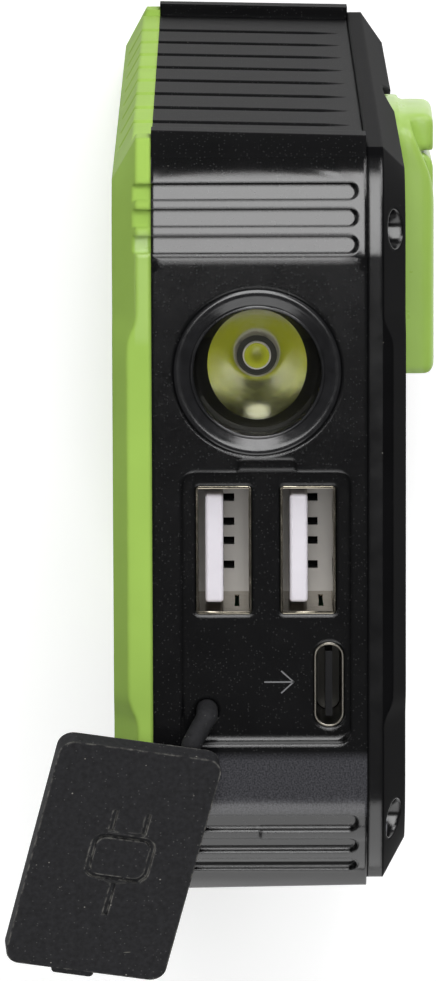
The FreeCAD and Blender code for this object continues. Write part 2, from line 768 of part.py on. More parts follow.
# ---- ports ------------------------------------------------------------------
def usb_a_shell(y):
    """One steel socket shell, open at its mouth, with four spring windows and a seam."""
    x0, x1 = usb_a_x - usb_a_width / 2, usb_a_x + usb_a_width / 2
    y0, y1 = y - usb_a_height / 2, y + usb_a_height / 2
    outer = slab(x0, x1, y0, y1, port_board_top, recess_z, 0.4)
    t = usb_shell_wall
    inner = box(x0 + t, x1 - t, y0 + t, y1 - t, port_board_top + 1.2, recess_z + 1)
    half = usb_a_spring_width / 2
    top = recess_z - usb_a_spring_depth
    windows = []
    for side in (-1, 1):
        wx = usb_a_x + side * usb_a_spring_x
        windows.append(box(wx - half, wx + half, y0 - 1, y1 + 1, top - usb_a_spring_length, top))
    half = usb_a_seam_width / 2
    seam_y = y + usb_a_seam_y
    top = recess_z - usb_a_seam_top
    seam = box(x1 - t - 0.5, x1 + 0.5, seam_y - half, seam_y + half, top - usb_a_seam_length, top)
    return cut(outer, inner, seam, *windows)


def usb_a_tongue(y):
    """The white tongue and the carrier at its foot, open beside each contact."""
    half = usb_a_tongue_width / 2
    ty = y + usb_a_tongue_offset
    t = usb_shell_wall
    face = ty + usb_a_tongue_thickness / 2
    tongue = box(usb_a_x - half, usb_a_x + half, ty - usb_a_tongue_thickness / 2, face,
                 port_board_top + 1.2, recess_z - 0.9)
    ends = [e for e in tongue.Edges if max(v.Z for v in e.Vertexes) > recess_z - 1]
    tongue = tongue.makeFillet(usb_a_tongue_edge, ends)
    foot = box(usb_a_x - usb_a_width / 2 + t, usb_a_x + usb_a_width / 2 - t, y - usb_a_height / 2 + t,
               y + usb_a_height / 2 - t, port_board_top + 1.2, port_board_top + 2.6)
    slots = [box(usb_a_x + dx - 0.5, usb_a_x + dx + 0.5, face - 0.25, face + 0.5,
                 port_board_top + 3.4, recess_z - 1.9) for dx in usb_a_contact_spots()]
    wide, deep = usb_a_notch
    for dx in usb_a_contact_spots():
        slots.append(box(usb_a_x + dx - wide / 2, usb_a_x + dx + wide / 2, face, face + deep,
                         port_board_top, port_board_top + 3))
    return cut(fused(tongue, foot), *slots)


def usb_a_contact_spots():
    """The four contacts across a tongue."""
    return (-3.5, -1.0, 1.0, 3.5)


def usb_a_contacts(y):
    """The four gilt strips let into the tongue."""
    face = y + usb_a_tongue_offset + usb_a_tongue_thickness / 2
    strips = [box(usb_a_x + dx - 0.5, usb_a_x + dx + 0.5, face - 0.25, face + 0.02,
                  port_board_top + 3.4, recess_z - 1.9) for dx in usb_a_contact_spots()]
    return Part.makeCompound(strips)


def usb_c_shell():
    """The oval steel socket shell."""
    r = usb_c_height / 2 - 0.05
    x0, x1 = usb_c_x - usb_c_width / 2, usb_c_x + usb_c_width / 2
    y0, y1 = usb_c_y - usb_c_height / 2, usb_c_y + usb_c_height / 2
    t = usb_shell_wall
    outer = slab(x0, x1, y0, y1, recess_z - usb_c_length, recess_z, r)
    inner = slab(x0 + t, x1 - t, y0 + t, y1 - t, recess_z - usb_c_length + 1, recess_z + 1, r - t)
    return cut(outer, inner)


def usb_c_tongue():
    """The thin centre tongue of the oval socket."""
    half = usb_c_tongue_width / 2
    return box(usb_c_x - half, usb_c_x + half, usb_c_y - usb_c_tongue_thickness / 2,
               usb_c_y + usb_c_tongue_thickness / 2, recess_z - usb_c_length + 1, recess_z - 0.8)


def usb_c_riser():
    """The block that lifts the oval socket off the port board."""
    return box(usb_c_x - usb_c_width / 2, usb_c_x + usb_c_width / 2, usb_c_y - usb_c_height / 2,
               usb_c_y + usb_c_height / 2 - 0.2, port_board_top, recess_z - usb_c_length)


def port_board():
    """The board across the case that carries the sockets."""
    return box(recess_x0 - port_board_lead, inside_x - port_board_gap, front_joint + port_board_front_gap,
               back_joint - port_board_back_gap, port_board_top - port_board_thickness, port_board_top)


# ---- rubber port cover ------------------------------------------------------
def flap_place():
    """Where the open cover lies: its frame's X runs down the flap, Z out of its outer face."""
    turn = Rotation(Z, flap_yaw) * Rotation(Y, flap_droop) * Rotation(X, flap_roll)
    return Placement(Vector(flap_top_x, flap_top_y, length + flap_lift), turn)


flap_length = recess_width - 2 * flap_clearance
flap_width = recess_height - 2 * flap_clearance


def port_cover():
    """The rubber flap with its pull tab and the lug that the stem joins."""
    flap = slab(0, flap_length, -flap_width / 2, flap_width / 2, -cover_flap_thickness, 0, flap_radius)
    rim = [e for e in flap.Edges if abs(e.Vertexes[0].Z) < 1e-6 and abs(e.Vertexes[-1].Z) < 1e-6]
    flap = flap.makeFillet(0.3, rim)
    tab = slab(flap_length - 1, flap_length + tab_reach, -tab_width / 2 - 1, tab_width / 2 - 1,
               -cover_flap_thickness, -0.5, 0.45)
    cover = fused(flap, tab)
    cover.Placement = flap_place()
    return cover


def stem_end():
    """The middle of the stem's ball end, just under the flap's root: the flap bends about it."""
    spot = Vector(stem_tuck, flap_width / 2 - stem_side, -cover_flap_thickness - stem_radius - neck_gap)
    return flap_place().multVec(spot)


def cover_stem():
    """The bent rubber stem from its barb under the recess floor to the flap."""
    foot_z = recess_z - recess_floor - 0.4
    bend_point = Vector(stem_x, stem_y, length + stem_rise)
    end = stem_end()
    along = (end - bend_point).normalize()
    upright = z_rod(stem_radius, stem_x, stem_y, foot_z - barb_length, bend_point.z)
    knuckle = Part.makeSphere(stem_radius, bend_point)
    arm = rod(stem_radius, bend_point, along, (end - bend_point).Length)
    ball = Part.makeSphere(stem_radius, end)
    barb = turned([(0.2, foot_z - barb_length), (stem_radius, foot_z - barb_length), (barb_radius, foot_z),
                   (0.2, foot_z)], Vector(stem_x, stem_y, 0))
    return fused(upright, knuckle, arm, ball, barb)


# ---- crank ------------------------------------------------------------------
def cheek_profile():
    """A cheek seen along Z: full height by the hub, an S-shaped fall towards the tip."""
    tip_x = -tip_radius - 1
    low = base_top + cheek_tip_height
    start = Vector(cheek_end_x, base_top - 0.3, 0)
    corner = cheek_corner
    shoulder = Vector(cheek_end_x, arm_top - corner, 0)
    crown = Vector(cheek_end_x - corner, arm_top, 0)
    middle = Vector(cheek_end_x - corner * 0.293, arm_top - corner * 0.293, 0)
    fall = Vector(cheek_fall - tip_radius, arm_top, 0)
    curve = Part.BezierCurve()
    curve.setPoles([fall, Vector(cheek_bend[0] - tip_radius, arm_top, 0),
                    Vector(cheek_bend[1] - tip_radius, low, 0), Vector(tip_x, low, 0)])
    foot = Vector(tip_x, base_top - 0.3, 0)
    return Part.Face(Part.Wire([
        Part.makeLine(start, shoulder), Part.Arc(shoulder, middle, crown).toShape(),
        Part.makeLine(crown, fall), curve.toShape(),
        Part.makeLine(Vector(tip_x, low, 0), foot), Part.makeLine(foot, start),
    ]))


def cheeks():
    """The two side walls of the arm."""
    outer = arm_half_width - flange_lip
    walls = []
    for z0 in (middle_z - outer, middle_z + outer - cheek_thickness):
        profile = cheek_profile()
        profile.translate(Vector(0, 0, z0))
        walls.append(profile.extrude(Vector(0, 0, cheek_thickness)))
    return walls


grip_tail_x = grip_pin_x - grip_tail


def arm_plan(inset, y0, y1, crown):
    """The arm's outline as a block: straight sides, a curved tip with round corners, a rounded top."""
    half = arm_half_width - inset
    block = box(-tip_radius - 1, hub_radius, y0, y1, middle_z - half, middle_z + half)
    block = block.common(y_rod(tip_radius - inset, 0, middle_z, y0, y1))
    tip = [e for e in block.Edges if max(v.X for v in e.Vertexes) < -tip_radius / 2
           and abs(e.Vertexes[0].Y - e.Vertexes[-1].Y) > (y1 - y0) / 2]
    block = block.makeFillet(tip_corner - inset, tip)
    if crown:
        top = [e for e in block.Edges if min(v.Y for v in e.Vertexes) > y1 - 1e-6
               and min(v.X for v in e.Vertexes) < hub_radius - 1]
        block = block.makeFillet(crown, top)
    return block


def crank_arm():
    """The green arm: a base flange, hub disc, two cheeks and the block at the tip."""
    hub = y_rod(hub_radius, 0, middle_z, base_bottom, base_top)
    cap = y_rod(hub_cap_radius, 0, middle_z, base_bottom, base_top + hub_cap_height)
    flange = arm_plan(0, base_bottom, base_top, 0)
    inner = arm_half_width - flange_lip - cheek_thickness + 0.1
    block = box(-tip_radius, grip_tail_x - side_gap, base_top - 0.3, grip_top, middle_z - inner,
                middle_z + inner)
    upper = fused(block, *cheeks()).common(arm_plan(flange_lip, base_bottom, arm_top, arm_crown))
    arm = fused(hub, cap, flange, upper)
    bore = y_rod(shaft_radius + fit_gap, 0, middle_z, base_bottom - 1, base_top - 0.6)
    screw_way = y_rod(small_screw_shank + fit_gap, 0, middle_z, base_bottom - 1, arm_top)
    seat = y_rod(small_screw_head + 0.9, 0, middle_z, base_top, arm_top)
    pin_way = z_rod(grip_pin_radius + fit_gap, grip_pin_x, grip_axis_y, middle_z - pin_reach - fit_gap,
                    middle_z + pin_reach + fit_gap)
    return cut(arm, bore, screw_way, seat, pin_way)


def crank_shaft():
    """The steel shaft from the gear plate through the cover to the arm."""
    shaft = y_rod(shaft_radius, 0, middle_z, gear_plate_front, base_top - 0.6)
    thread = y_rod(small_screw_shank + fit_gap, 0, middle_z, base_top - 0.6 - 4, base_top)
    return cut(shaft, thread)


def crank_screw():
    """The screw that holds the arm on its shaft."""
    head = y_rod(small_screw_head + 0.7, 0, middle_z, base_top, base_top + hub_cap_height + 0.2)
    shank = y_rod(small_screw_shank, 0, middle_z, base_top - 4, base_top)
    slots = [box(-1.3, 1.3, base_top + 0.4, base_top + 2, middle_z - 0.25, middle_z + 0.25),
             box(-0.25, 0.25, base_top + 0.4, base_top + 2, middle_z - 1.3, middle_z + 1.3)]
    return cut(fused(head, shank), *slots)


def crank_grip():
    """The green handle that folds into the arm, round at its pin."""
    half = arm_half_width - flange_lip - cheek_thickness - side_gap
    bar = box(grip_pin_x, grip_free_x, grip_bottom, grip_top, middle_z - half, middle_z + half)
    ends = [e for e in bar.Edges if min(v.X for v in e.Vertexes) > grip_free_x - 1e-6]
    bar = bar.makeFillet(0.8, ends)
    tail = z_rod(grip_tail, grip_pin_x, grip_axis_y, middle_z - half, middle_z + half)
    pin_way = z_rod(grip_pin_radius + run_gap, grip_pin_x, grip_axis_y, middle_z - half - 1,
                    middle_z + half + 1)
    return cut(fused(bar, tail), pin_way)


def grip_pin():
    """The steel pin, held in blind holes in both cheeks."""
    return z_rod(grip_pin_radius, grip_pin_x, grip_axis_y, middle_z - pin_reach, middle_z + pin_reach)


# ---- gear train -------------------------------------------------------------
def gear(teeth, module, pointing, y0, y1, x, z, bore):
    """A spur gear along Y with a tooth centred on the pointing angle (degrees from +X to +Z)."""
    pitch = module * teeth / 2
    alpha = math.radians(pressure_angle)
    base = pitch * math.cos(alpha)
    tip = pitch + module
    root = pitch - 1.25 * module
    half_tooth = (math.pi * module / 2 - backlash) / (2 * pitch)
    involute_at_pitch = math.tan(alpha) - alpha

    def half_angle(radius):
        if radius <= base:
            return half_tooth + involute_at_pitch
        phi = math.acos(base / radius)
        return half_tooth + involute_at_pitch - (math.tan(phi) - phi)

    start = max(base, root)
    flank = [start + (tip - start) * s for s in (0, 0.35, 0.7, 1)]
    radii = ([root] if root < base else []) + flank
    points = []
    for index in range(teeth):
        centre = math.radians(pointing) + 2 * math.pi * index / teeth
        rising = [(r, centre - half_angle(r)) for r in radii]
        falling = [(r, centre + half_angle(r)) for r in reversed(radii)]
        for r, angle in rising + falling:
            points.append(Vector(x + r * math.cos(angle), y0, z + r * math.sin(angle)))
    face = Part.Face(Part.makePolygon(points + points[:1]))
    return cut(face.extrude(Vector(0, y1 - y0, 0)), y_rod(bore, x, z, y0 - 1, y1 + 1))


def drive_gear():
    """The large gear on the crank's shaft, lightened by round windows."""
    wheel = gear(drive_teeth, drive_module, idler_bearing, drive_front, drive_front + gear_face,
                 0, middle_z, shaft_radius + fit_gap)
    hub = cut(y_rod(gear_boss_radius, 0, middle_z, drive_front - gear_level_gap / 2, drive_front),
              y_rod(shaft_radius + fit_gap, 0, middle_z, drive_front - 5, drive_front + 1))
    ring = (gear_boss_radius + drive_radius) / 2
    hole = (drive_radius - gear_boss_radius) / 2 - 2.6
    holes = [y_rod(hole, ring * math.cos(a), middle_z + ring * math.sin(a), drive_front - 1,
                   drive_front + gear_face + 1) for a in (math.pi / 3 * i for i in range(6))]
    return cut(fused(wheel, hub), *holes)


def half_tooth_turn(teeth):
    """Degrees from a tooth's middle to the next gap's middle."""
    return 180.0 / teeth


def idler_gear():
    """The compound gear: a large wheel with a small pinion on its back."""
    wheel = gear(idler_teeth, idler_module, generator_bearing, idler_front, idler_front + gear_face,
                 idler_x, idler_z, axle_radius + run_gap)
    collar = y_rod(drive_module * pinion_teeth / 2 - 1.3 * drive_module, idler_x, idler_z,
                   idler_front + gear_face, drive_front)
    collar = cut(collar, y_rod(axle_radius + run_gap, idler_x, idler_z, idler_front, drive_front + 1))
    pinion = gear(pinion_teeth, drive_module, idler_bearing + 180 + half_tooth_turn(pinion_teeth),
                  drive_front, drive_front + gear_face, idler_x, idler_z, axle_radius + run_gap)
    return fused(wheel, collar, pinion)


def idler_axle():
    """The fixed pin that the compound gear turns on."""
    return y_rod(axle_radius, idler_x, idler_z, gear_plate_front, cover_inside + 0.5)


def rotor_pinion():
    """The brass pinion on the generator's shaft."""
    return gear(pinion_teeth, idler_module, generator_bearing + 180 + half_tooth_turn(pinion_teeth),
                idler_front, idler_front + gear_face, rotor_x, rotor_z, rotor_shaft_radius + fit_gap)


def gear_plate():
    """The metal plate that carries the lower ends of the shafts."""
    edge = post_radius + 0.4
    spots = gear_post_spots()
    high, low = spots[:2], spots[2:]
    corners = [Vector(high[0][0] - edge, gear_plate_front, high[0][1] + edge),
               Vector(high[1][0] + edge, gear_plate_front, high[1][1] + edge),
               Vector(low[1][0] + edge, gear_plate_front, low[1][1] - edge),
               Vector(low[0][0] - edge, gear_plate_front, low[0][1] - edge)]
    plate = Part.Face(Part.makePolygon(corners + corners[:1])).extrude(Vector(0, gear_plate_thickness, 0))
    y0, y1 = gear_plate_front - 1, gear_plate_back + 1
    holes = [y_rod(small_screw_shank + screw_play, x, z, y0, y1) for x, z in spots]
    holes.append(y_rod(shaft_radius + run_gap, 0, middle_z, y0, y1))
    holes.append(y_rod(axle_radius + fit_gap, idler_x, idler_z, y0, y1))
    holes.append(y_rod(rotor_shaft_radius + run_gap, rotor_x, rotor_z, y0, y1))
    return cut(plate, *holes)


def gear_plate_screws():
    """The screws that hold the plate to the cover's posts."""
    head = y_rod(small_screw_head, 0, 0, gear_plate_front - small_head_height, gear_plate_front)
    shank = y_rod(small_screw_shank, 0, 0, gear_plate_front, gear_plate_back + gear_screw_bite)
    screw = fused(head, shank)
    return spread(screw, [Vector(x, 0, z) for x, z in gear_post_spots()])


# ---- generator --------------------------------------------------------------
def generator_can():
    """The steel cup fixed to the gear plate."""
    outer = y_rod(can_radius, rotor_x, rotor_z, can_front, gear_plate_front)
    inner = y_rod(can_radius - can_wall, rotor_x, rotor_z, can_front + can_wall, gear_plate_front + 1)
    bearing = y_rod(2.6, rotor_x, rotor_z, can_front, can_front + 1.6)
    hole = y_rod(rotor_shaft_radius + run_gap, rotor_x, rotor_z, can_front + 0.4, gear_plate_front)
    return cut(fused(cut(outer, inner), bearing), hole)


def generator_coil():
    """The copper winding inside the cup."""
    inner_radius = can_radius - can_wall
    outer = y_rod(inner_radius - fit_gap, rotor_x, rotor_z, can_front + can_wall, gear_plate_front - 0.6)
    return cut(outer, y_rod(inner_radius - coil_wall, rotor_x, rotor_z, can_front, gear_plate_front))


def generator_magnet():
    """The magnet that turns inside the winding."""
    solid = y_rod(magnet_radius, rotor_x, rotor_z, can_front + 2.2, gear_plate_front - 0.8)
    return cut(solid, y_rod(rotor_shaft_radius + fit_gap, rotor_x, rotor_z, can_front, gear_plate_front))


def rotor_shaft():
    """The generator's thin shaft, through the gear plate to its pinion."""
    return y_rod(rotor_shaft_radius, rotor_x, rotor_z, can_front + 0.6, idler_front + gear_face)


# ---- battery and board ------------------------------------------------------
def battery_cell():
    """The flat pouch cell."""
    y0 = plate_back + battery_pad_thickness
    return slab_y(-battery_half_width, battery_half_width, y0, y0 + battery_thickness,
                  battery_z0, battery_z1, battery_corner)


def slab_y(x0, x1, y0, y1, z0, z1, radius):
    """A block whose four edges along Y are rounded."""
    solid = box(x0, x1, y0, y1, z0, z1)
    depth = [e for e in solid.Edges if abs(e.Vertexes[0].Y - e.Vertexes[-1].Y) > (y1 - y0) / 2]
    return solid.makeFillet(radius, depth)


def battery_pad():
    """The adhesive foam pad between the cell and the carrier plate."""
    half = battery_half_width - battery_pad_margin
    return box(-half, half, plate_back, plate_back + battery_pad_thickness, battery_z0 + battery_pad_margin,
               battery_z1 - battery_pad_margin)


def board_screw_spots():
    """The two screws of the main board, as (x, z)."""
    near, far = board_screw_insets
    return [(main_board_x0 + near, main_board_middle), (main_board_x1 - far, main_board_middle)]


def main_board():
    """The charge controller's board across the tail."""
    board = box(main_board_x0, main_board_x1, board_back - board_thickness, board_back,
                main_board_z0, main_board_z1)
    holes = [y_rod(small_screw_shank + screw_play, x, z, board_back - 3, board_back + 3)
             for x, z in board_screw_spots()]
    return cut(board, *holes)


def board_screws():
    """The screws of the main board, driven into the carrier plate."""
    head = y_rod(small_screw_head, 0, 0, board_back, board_back + small_head_height)
    shank = y_rod(small_screw_shank, 0, 0, plate_back - board_screw_bite, board_back)
    return spread(fused(head, shank), [Vector(x, 0, z) for x, z in board_screw_spots()])


def board_row():
    """The near sides of the chips and the inductor, spaced evenly between the two screws."""
    left, right = (x for x, z in board_screw_spots())
    left += small_screw_head
    right -= small_screw_head
    gap = (right - left - chip_count * chip_size[0] - inductor_size[0]) / (chip_count + 2)
    return [left + gap + i * (chip_size[0] + gap) for i in range(chip_count + 1)]


def charge_chips():
    """The flat chips on the main board, every second one lower than the others."""
    wide, tall, thick = chip_size
    chip = box(0, wide, board_back, board_back + thick, -tall / 2, tall / 2)
    return spread(chip, [Vector(x, 0, main_board_middle + chip_stagger * (-1) ** i)
                         for i, x in enumerate(board_row()[:-1])])


def inductor():
    """The square wound inductor on the main board."""
    wide, tall, thick = inductor_size
    x0 = board_row()[-1]
    return slab_y(x0, x0 + wide, board_back, board_back + thick, main_board_middle - tall / 2,
                  main_board_middle + tall / 2, inductor_corner)


def button_switch():
    """The side switch on the board's edge, with its nose towards the button."""
    x1 = main_board_x1
    body = box(x1 - switch_depth, x1, board_back, board_back + 4.4, button_z - 3.5, button_z + 3.5)
    nose = box(x1, x1 + switch_nose, board_back + 0.9, board_back + 3.5, button_z - 1.2, button_z + 1.2)
    return fused(body, nose)


def power_button():
    """The push button in the long side, held by its inner flange."""
    flange_x1 = button_flange_x
    flange = box(flange_x1 - button_flange, flange_x1, button_y - button_width / 2 - 0.7,
                 button_y + button_width / 2 + 0.7, button_z - button_length / 2 - 0.8,
                 button_z + button_length / 2 + 0.8)
    post_x0 = main_board_x1 + switch_nose + button_travel + button_gap
    post = box(post_x0, flange_x1, button_y - 1, button_y + 1, button_z - 1, button_z + 1)
    return fused(flange, post, button_hole(0, flange_x1 - 0.2, side_x + button_rise))


# ---- write every sub-part ---------------------------------------------------
def main():
    """Builds each sub-part and writes it."""
    os.makedirs("parts", exist_ok=True)
    single = (
        main_housing, front_bezel, front_plate, solar_cells, solar_window, indicator_lenses, back_cover,
        case_screws, lamp_ring, lamp_lens, reflector, led_board, torch_led, usb_c_shell, usb_c_tongue,
        usb_c_riser, port_board, port_cover, cover_stem, crank_arm, crank_shaft, crank_screw, crank_grip,
        grip_pin, drive_gear, idler_gear, idler_axle, rotor_pinion, gear_plate, gear_plate_screws,
        generator_can, generator_coil, generator_magnet, rotor_shaft, battery_cell, battery_pad, main_board,
        board_screws, charge_chips, inductor, button_switch, power_button,
    )
    for build in single:
        save(build.__name__, build())
    for number, y in enumerate(usb_a_ys, 1):
        save(f"usb_a_shell_{number}", usb_a_shell(y))
        save(f"usb_a_tongue_{number}", usb_a_tongue(y))
        save(f"usb_a_contacts_{number}", usb_a_contacts(y))


main()
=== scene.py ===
import math

import bmesh
import bpy
from bpy.props import FloatProperty, FloatVectorProperty, PointerProperty
from mathutils import Matrix, Vector


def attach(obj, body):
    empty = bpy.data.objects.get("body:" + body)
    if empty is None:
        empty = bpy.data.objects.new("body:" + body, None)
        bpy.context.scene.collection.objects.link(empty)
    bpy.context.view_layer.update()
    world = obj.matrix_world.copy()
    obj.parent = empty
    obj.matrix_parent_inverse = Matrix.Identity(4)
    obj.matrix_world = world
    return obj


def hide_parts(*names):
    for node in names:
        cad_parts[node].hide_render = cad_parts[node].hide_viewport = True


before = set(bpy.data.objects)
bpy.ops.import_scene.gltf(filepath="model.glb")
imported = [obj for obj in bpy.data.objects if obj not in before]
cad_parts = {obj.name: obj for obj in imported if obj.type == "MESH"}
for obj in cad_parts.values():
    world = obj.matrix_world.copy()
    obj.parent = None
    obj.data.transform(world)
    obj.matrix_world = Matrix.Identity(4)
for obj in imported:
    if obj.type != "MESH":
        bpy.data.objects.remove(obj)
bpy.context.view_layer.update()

bl_info = {
    "name": "Hand crank power bank",
    "version": (1, 0, 0),
    "blender": (4, 5, 0),
    "location": "View3D > Sidebar > Power bank",
    "description": "Dresses the packed power bank: shells, torch, ports, rubber cover, crank and stage",
    "category": "Object",
}

MM = 0.001
ABS_IOR = 1.53  # nylon has the same
POLYCARBONATE_IOR = 1.58
WAVE_TURN = math.pi / 10  # width of one ring of the wave texture at scale 1

# Places and sizes that fit the solids, in millimetres.
POCKET_FLOOR = 134.1  # floor of the pocket round the sockets
TORCH = Vector((-15.4, -0.2, 0.0))  # axis of the torch
RING_RADII = (6.45, 7.55, 8.5)  # torch ring: bore, start of its flat, outside
RING_LEVELS = (133.6, 135.95, 136.2)  # foot, top of the bore, top
RING_EDGE = ((0, 0.35), (0.03, 0.18), (0.12, 0.05), (0.28, 0))  # its round edge, in and down
RING_BEAD = 0.19  # radius of the bead round the bore
CUP_RADII = (1.75, 6.3, 7.52)  # mirror at its foot, at its mouth, and its rim
CUP_LEVELS = (124.2, 132.4)  # foot and mouth
CUP_WALL = 0.8
CUP_HOLE = 2.05  # the mirror starts at this radius; the hole below is black
CUP_EDGE = 5.65  # and ends at this one; a black ring, painted in place of the mirror's dark reflection, leads on to the lens
CUP_WINDOW = 5.05  # the black ring narrows the window to this radius along Y
CUP_STEPS = 32  # steps of its curve
CUP_SHOULDER = 20  # step at which the outside wall turns to the mirror's edge
LED_RADII = (1.3, 1.45)  # phosphor and package
LED_HEIGHT = 0.52  # package
DOME_LEVELS = (0.55, 0.3)  # start of the phosphor's curve, and its rise from there
SCREW_CENTRE = Vector((0.9, 0.0, 68.0))  # middle of the four case screws
SCREW_SPREAD = Vector((30.3, 0.0, 64.4))  # their distance from it along X and Z
SOCKET_FOOT = 121.5  # just above the floor of the square sockets
OVAL_SOCKET = Vector((17.0, 7.0, 134.1))
ARROW_TIP = OVAL_SOCKET - Vector((0.3, 3.6, 0))
ARROW_LINES = ((0, -2.9, 0, 0), (0, 0, -1.1, -1.2), (0, 0, 1.1, -1.2))  # both ends, from the tip
ARROW_STROKE = 0.14
ARROW_LEVELS = (-0.05, 0.06)  # foot and top, from the pocket's floor
STEM_PATH = ((19.6, -5.4, 130.5), (19.6, -5.4, 137.2), (22.2207, -6.9756, 138.5843))
STEM_RADIUS = 1.1
STEM_NECK = 0.93  # share left at its end, to clear the cover when it bends
STEM_EASE = 0.4  # the bend starts and ends this far from its corner
BARB = ((1.1, 130.5), (1.9, 131.9))  # radius and level: the barb's small and large ends
FLAP_ROOT = Vector((22.1, -11.8, 142.5))
FLAP_TURN = (-14.3, 21.0, -11.2)  # yaw, droop and roll, degrees
FLAP_SIZE = (27.65, 16.8, 1.8)
FLAP_CORNER = 1.6
TAB = (26.65, 28.55, -3.2, 1.2, -0.5)  # pull tab: along, across, and its outer face
TAB_CORNER = 0.45
PLUG_ACROSS = 0.6  # the plug mark lies this far off the cover's middle line
PLUG_BODY = (-3.4, 2.2, 3.3)  # its body: both ends along, and half its width
PLUG_CORNERS = (1.4, 1.0, 0.2)  # outside and inside of the body, ends of the lines
PLUG_BARS = ((2.5, 6.6, 0), (-6.4, -3.7, -1.7), (-6.4, -3.7, 1.7))  # lead and pins: along, across
PLUG_STROKE = 0.5
WELD = 0.002  # a solid's corners that are closer are one
SHELL_BEVEL = 0.1  # softened edges of the sockets
SKIN_CELL = 0.2  # cell of the crank's rubbed skin
SKIN_PASSES = 8  # more would run the crank into its pin

# Zones of a finish or of painted shade: low, high and the width of the soft ends along each axis, in
# millimetres.
FRAME_RIBS = {"X": (-29, -19, 1), "Y": (-12.4, -10.9, 0.2)}
COVER_LAND = {"Y": (9, 12.35, 0.12), "Z": (129.5, 140, 0.8), "X": (-36.3, 60, 0.6)}
HOUSING_PANEL = {"X": (-26.4, 28.3, 0.5), "Z": (133, 140, 0.3)}
COARSE_GRIT = {"X": (24.5, 29.6, 1), "Z": (133, 140, 0.3)}
HOUSING_SIDE = {"X": (-60, -36.9, 0.4)}
PANEL_RUN_OUT = {"X": (-26.9, -25.8, 0.2)}
# painted shade at the foot of the square sockets
SOCKET_SHADE = {"Z": (110, SOCKET_FOOT, 0.3)}
SCREW_HOLE = (-1, 2.02, 0.03)  # the same, from a screw's axis
SOCKET_RIM = (133.2, 134.05)  # painted shade in the oval socket lifts to a brighter rim between these levels

# The stage, in millimetres and degrees.
FLOOR = (1500, 200, 10)  # half its side, its corner, its thickness
FLOOR_GLOW = 0.35  # what camera, metal and glass see of it beyond its light
# name, lean from straight up towards -X and +Y, distance, width along X and along Y, radiance
LAMPS = (("overhead_strip", 30, 0, 1200, 1490, 380, 7.3),
         ("low_strip", -60, 0, 1000, 1300, 600, 2.3),
         ("front_box", 20, -60, 1000, 500, 250, 1.2),
         ("back_box", 50, 50, 1000, 500, 300, 10.0))
LAMP_AIM = 120  # height that the lamps point at
CAMERA_PLACE = Vector((-135.3, -3.44, 910.34))
CAMERA_TURN = (-9.6696, 0.0227, 89.8034)
CAMERA_LENS = 285.83


def linear(hex_colour):
    """An sRGB hex colour as linear red, green and blue."""
    channels = [int(hex_colour[i:i + 2], 16) / 255 for i in (0, 2, 4)]
    return tuple(c / 12.92 if c <= 0.04045 else ((c + 0.055) / 1.055) ** 2.4 for c in channels)


def opaque(colour):
    """A colour with full alpha, as a colour socket takes it; a hex colour turns linear first."""
    if isinstance(colour, str):
        colour = linear(colour)
    return (*colour[:3], 1.0)


# ---- what a user would change ------------------------------------------------
class ShellLook(bpy.types.PropertyGroup):
    """Colours and edges of the moulded shells."""
    green: FloatVectorProperty(name="Green", description="Lime green ABS of the frame and the crank",
                               subtype="COLOR", default=linear("9ABC57"), min=0, max=1)
    black: FloatVectorProperty(name="Black", description="Black ABS of the housing and the back shell",
                               subtype="COLOR", default=linear("0D0D0E"), min=0, max=1)
    edge: FloatProperty(name="Edge radius", description="Softness of the moulded edges",
                        unit="LENGTH", default=0.25 * MM, min=0, precision=5)


class CoverLook(bpy.types.PropertyGroup):
    """Sizes and colour of the rubber port cover."""
    rubber: FloatVectorProperty(name="Rubber", description="Black rubber of the cover and its stem",
                                subtype="COLOR", default=linear("222224"), min=0, max=1)
    mark_depth: FloatProperty(name="Mark depth", description="Depth of the sunk plug symbol",
                              unit="LENGTH", default=0.25 * MM, min=0, precision=5)
    rim: FloatProperty(name="Rim radius", description="Rounding of the cover's outer edge",
                       unit="LENGTH", default=0.35 * MM, min=0, precision=5)


class TorchLook(bpy.types.PropertyGroup):
    """Colours of the torch."""
    phosphor: FloatVectorProperty(name="Phosphor", description="Yellow phosphor of the LED",
                                  subtype="COLOR", default=linear("C6CC3C"), min=0, max=1)
    mirror: FloatVectorProperty(name="Mirror", description="Metal film in the reflector",
                                subtype="COLOR", default=linear("DCDCD2"), min=0, max=1)


class StageLook(bpy.types.PropertyGroup):
    """Floor and lamps."""
    floor: FloatVectorProperty(name="Floor", description="Floor colour", subtype="COLOR",
                               default=linear("F2F2F2"), min=0, max=1)
    lamp_level: FloatProperty(name="Lamp level", description="Scale of all lamps", default=1.0, min=0)
    room_level: FloatProperty(name="Room level", description="Brightness of the room round the stage",
                              default=0.07, min=0)


# ---- nodes and patterns; sizes are in millimetres ----------------------------------
def lead(tree, source, target):
    """Leads a socket, or a node's first output, to an input; anything else is its fixed value."""
    if isinstance(source, bpy.types.Node):
        source = source.outputs[0]
    if isinstance(source, bpy.types.NodeSocket):
        tree.links.new(source, target)
    else:
        target.default_value = source


def add(tree, kind, inputs=None, stops=None, **settings):
    """Adds a shader node with its settings, its fixed values or links, and a ramp's colour stops."""
    made = tree.nodes.new("ShaderNode" + kind)
    for name, value in settings.items():
        setattr(made, name, value)
    for name, value in (inputs or {}).items():
        lead(tree, value, made.inputs[name])
    for index, (place, colour) in enumerate(stops or ()):
        ramp = made.color_ramp.elements
        element = ramp[index] if index < len(ramp) else ramp.new(place)
        element.position = place
        element.color = colour
    return made


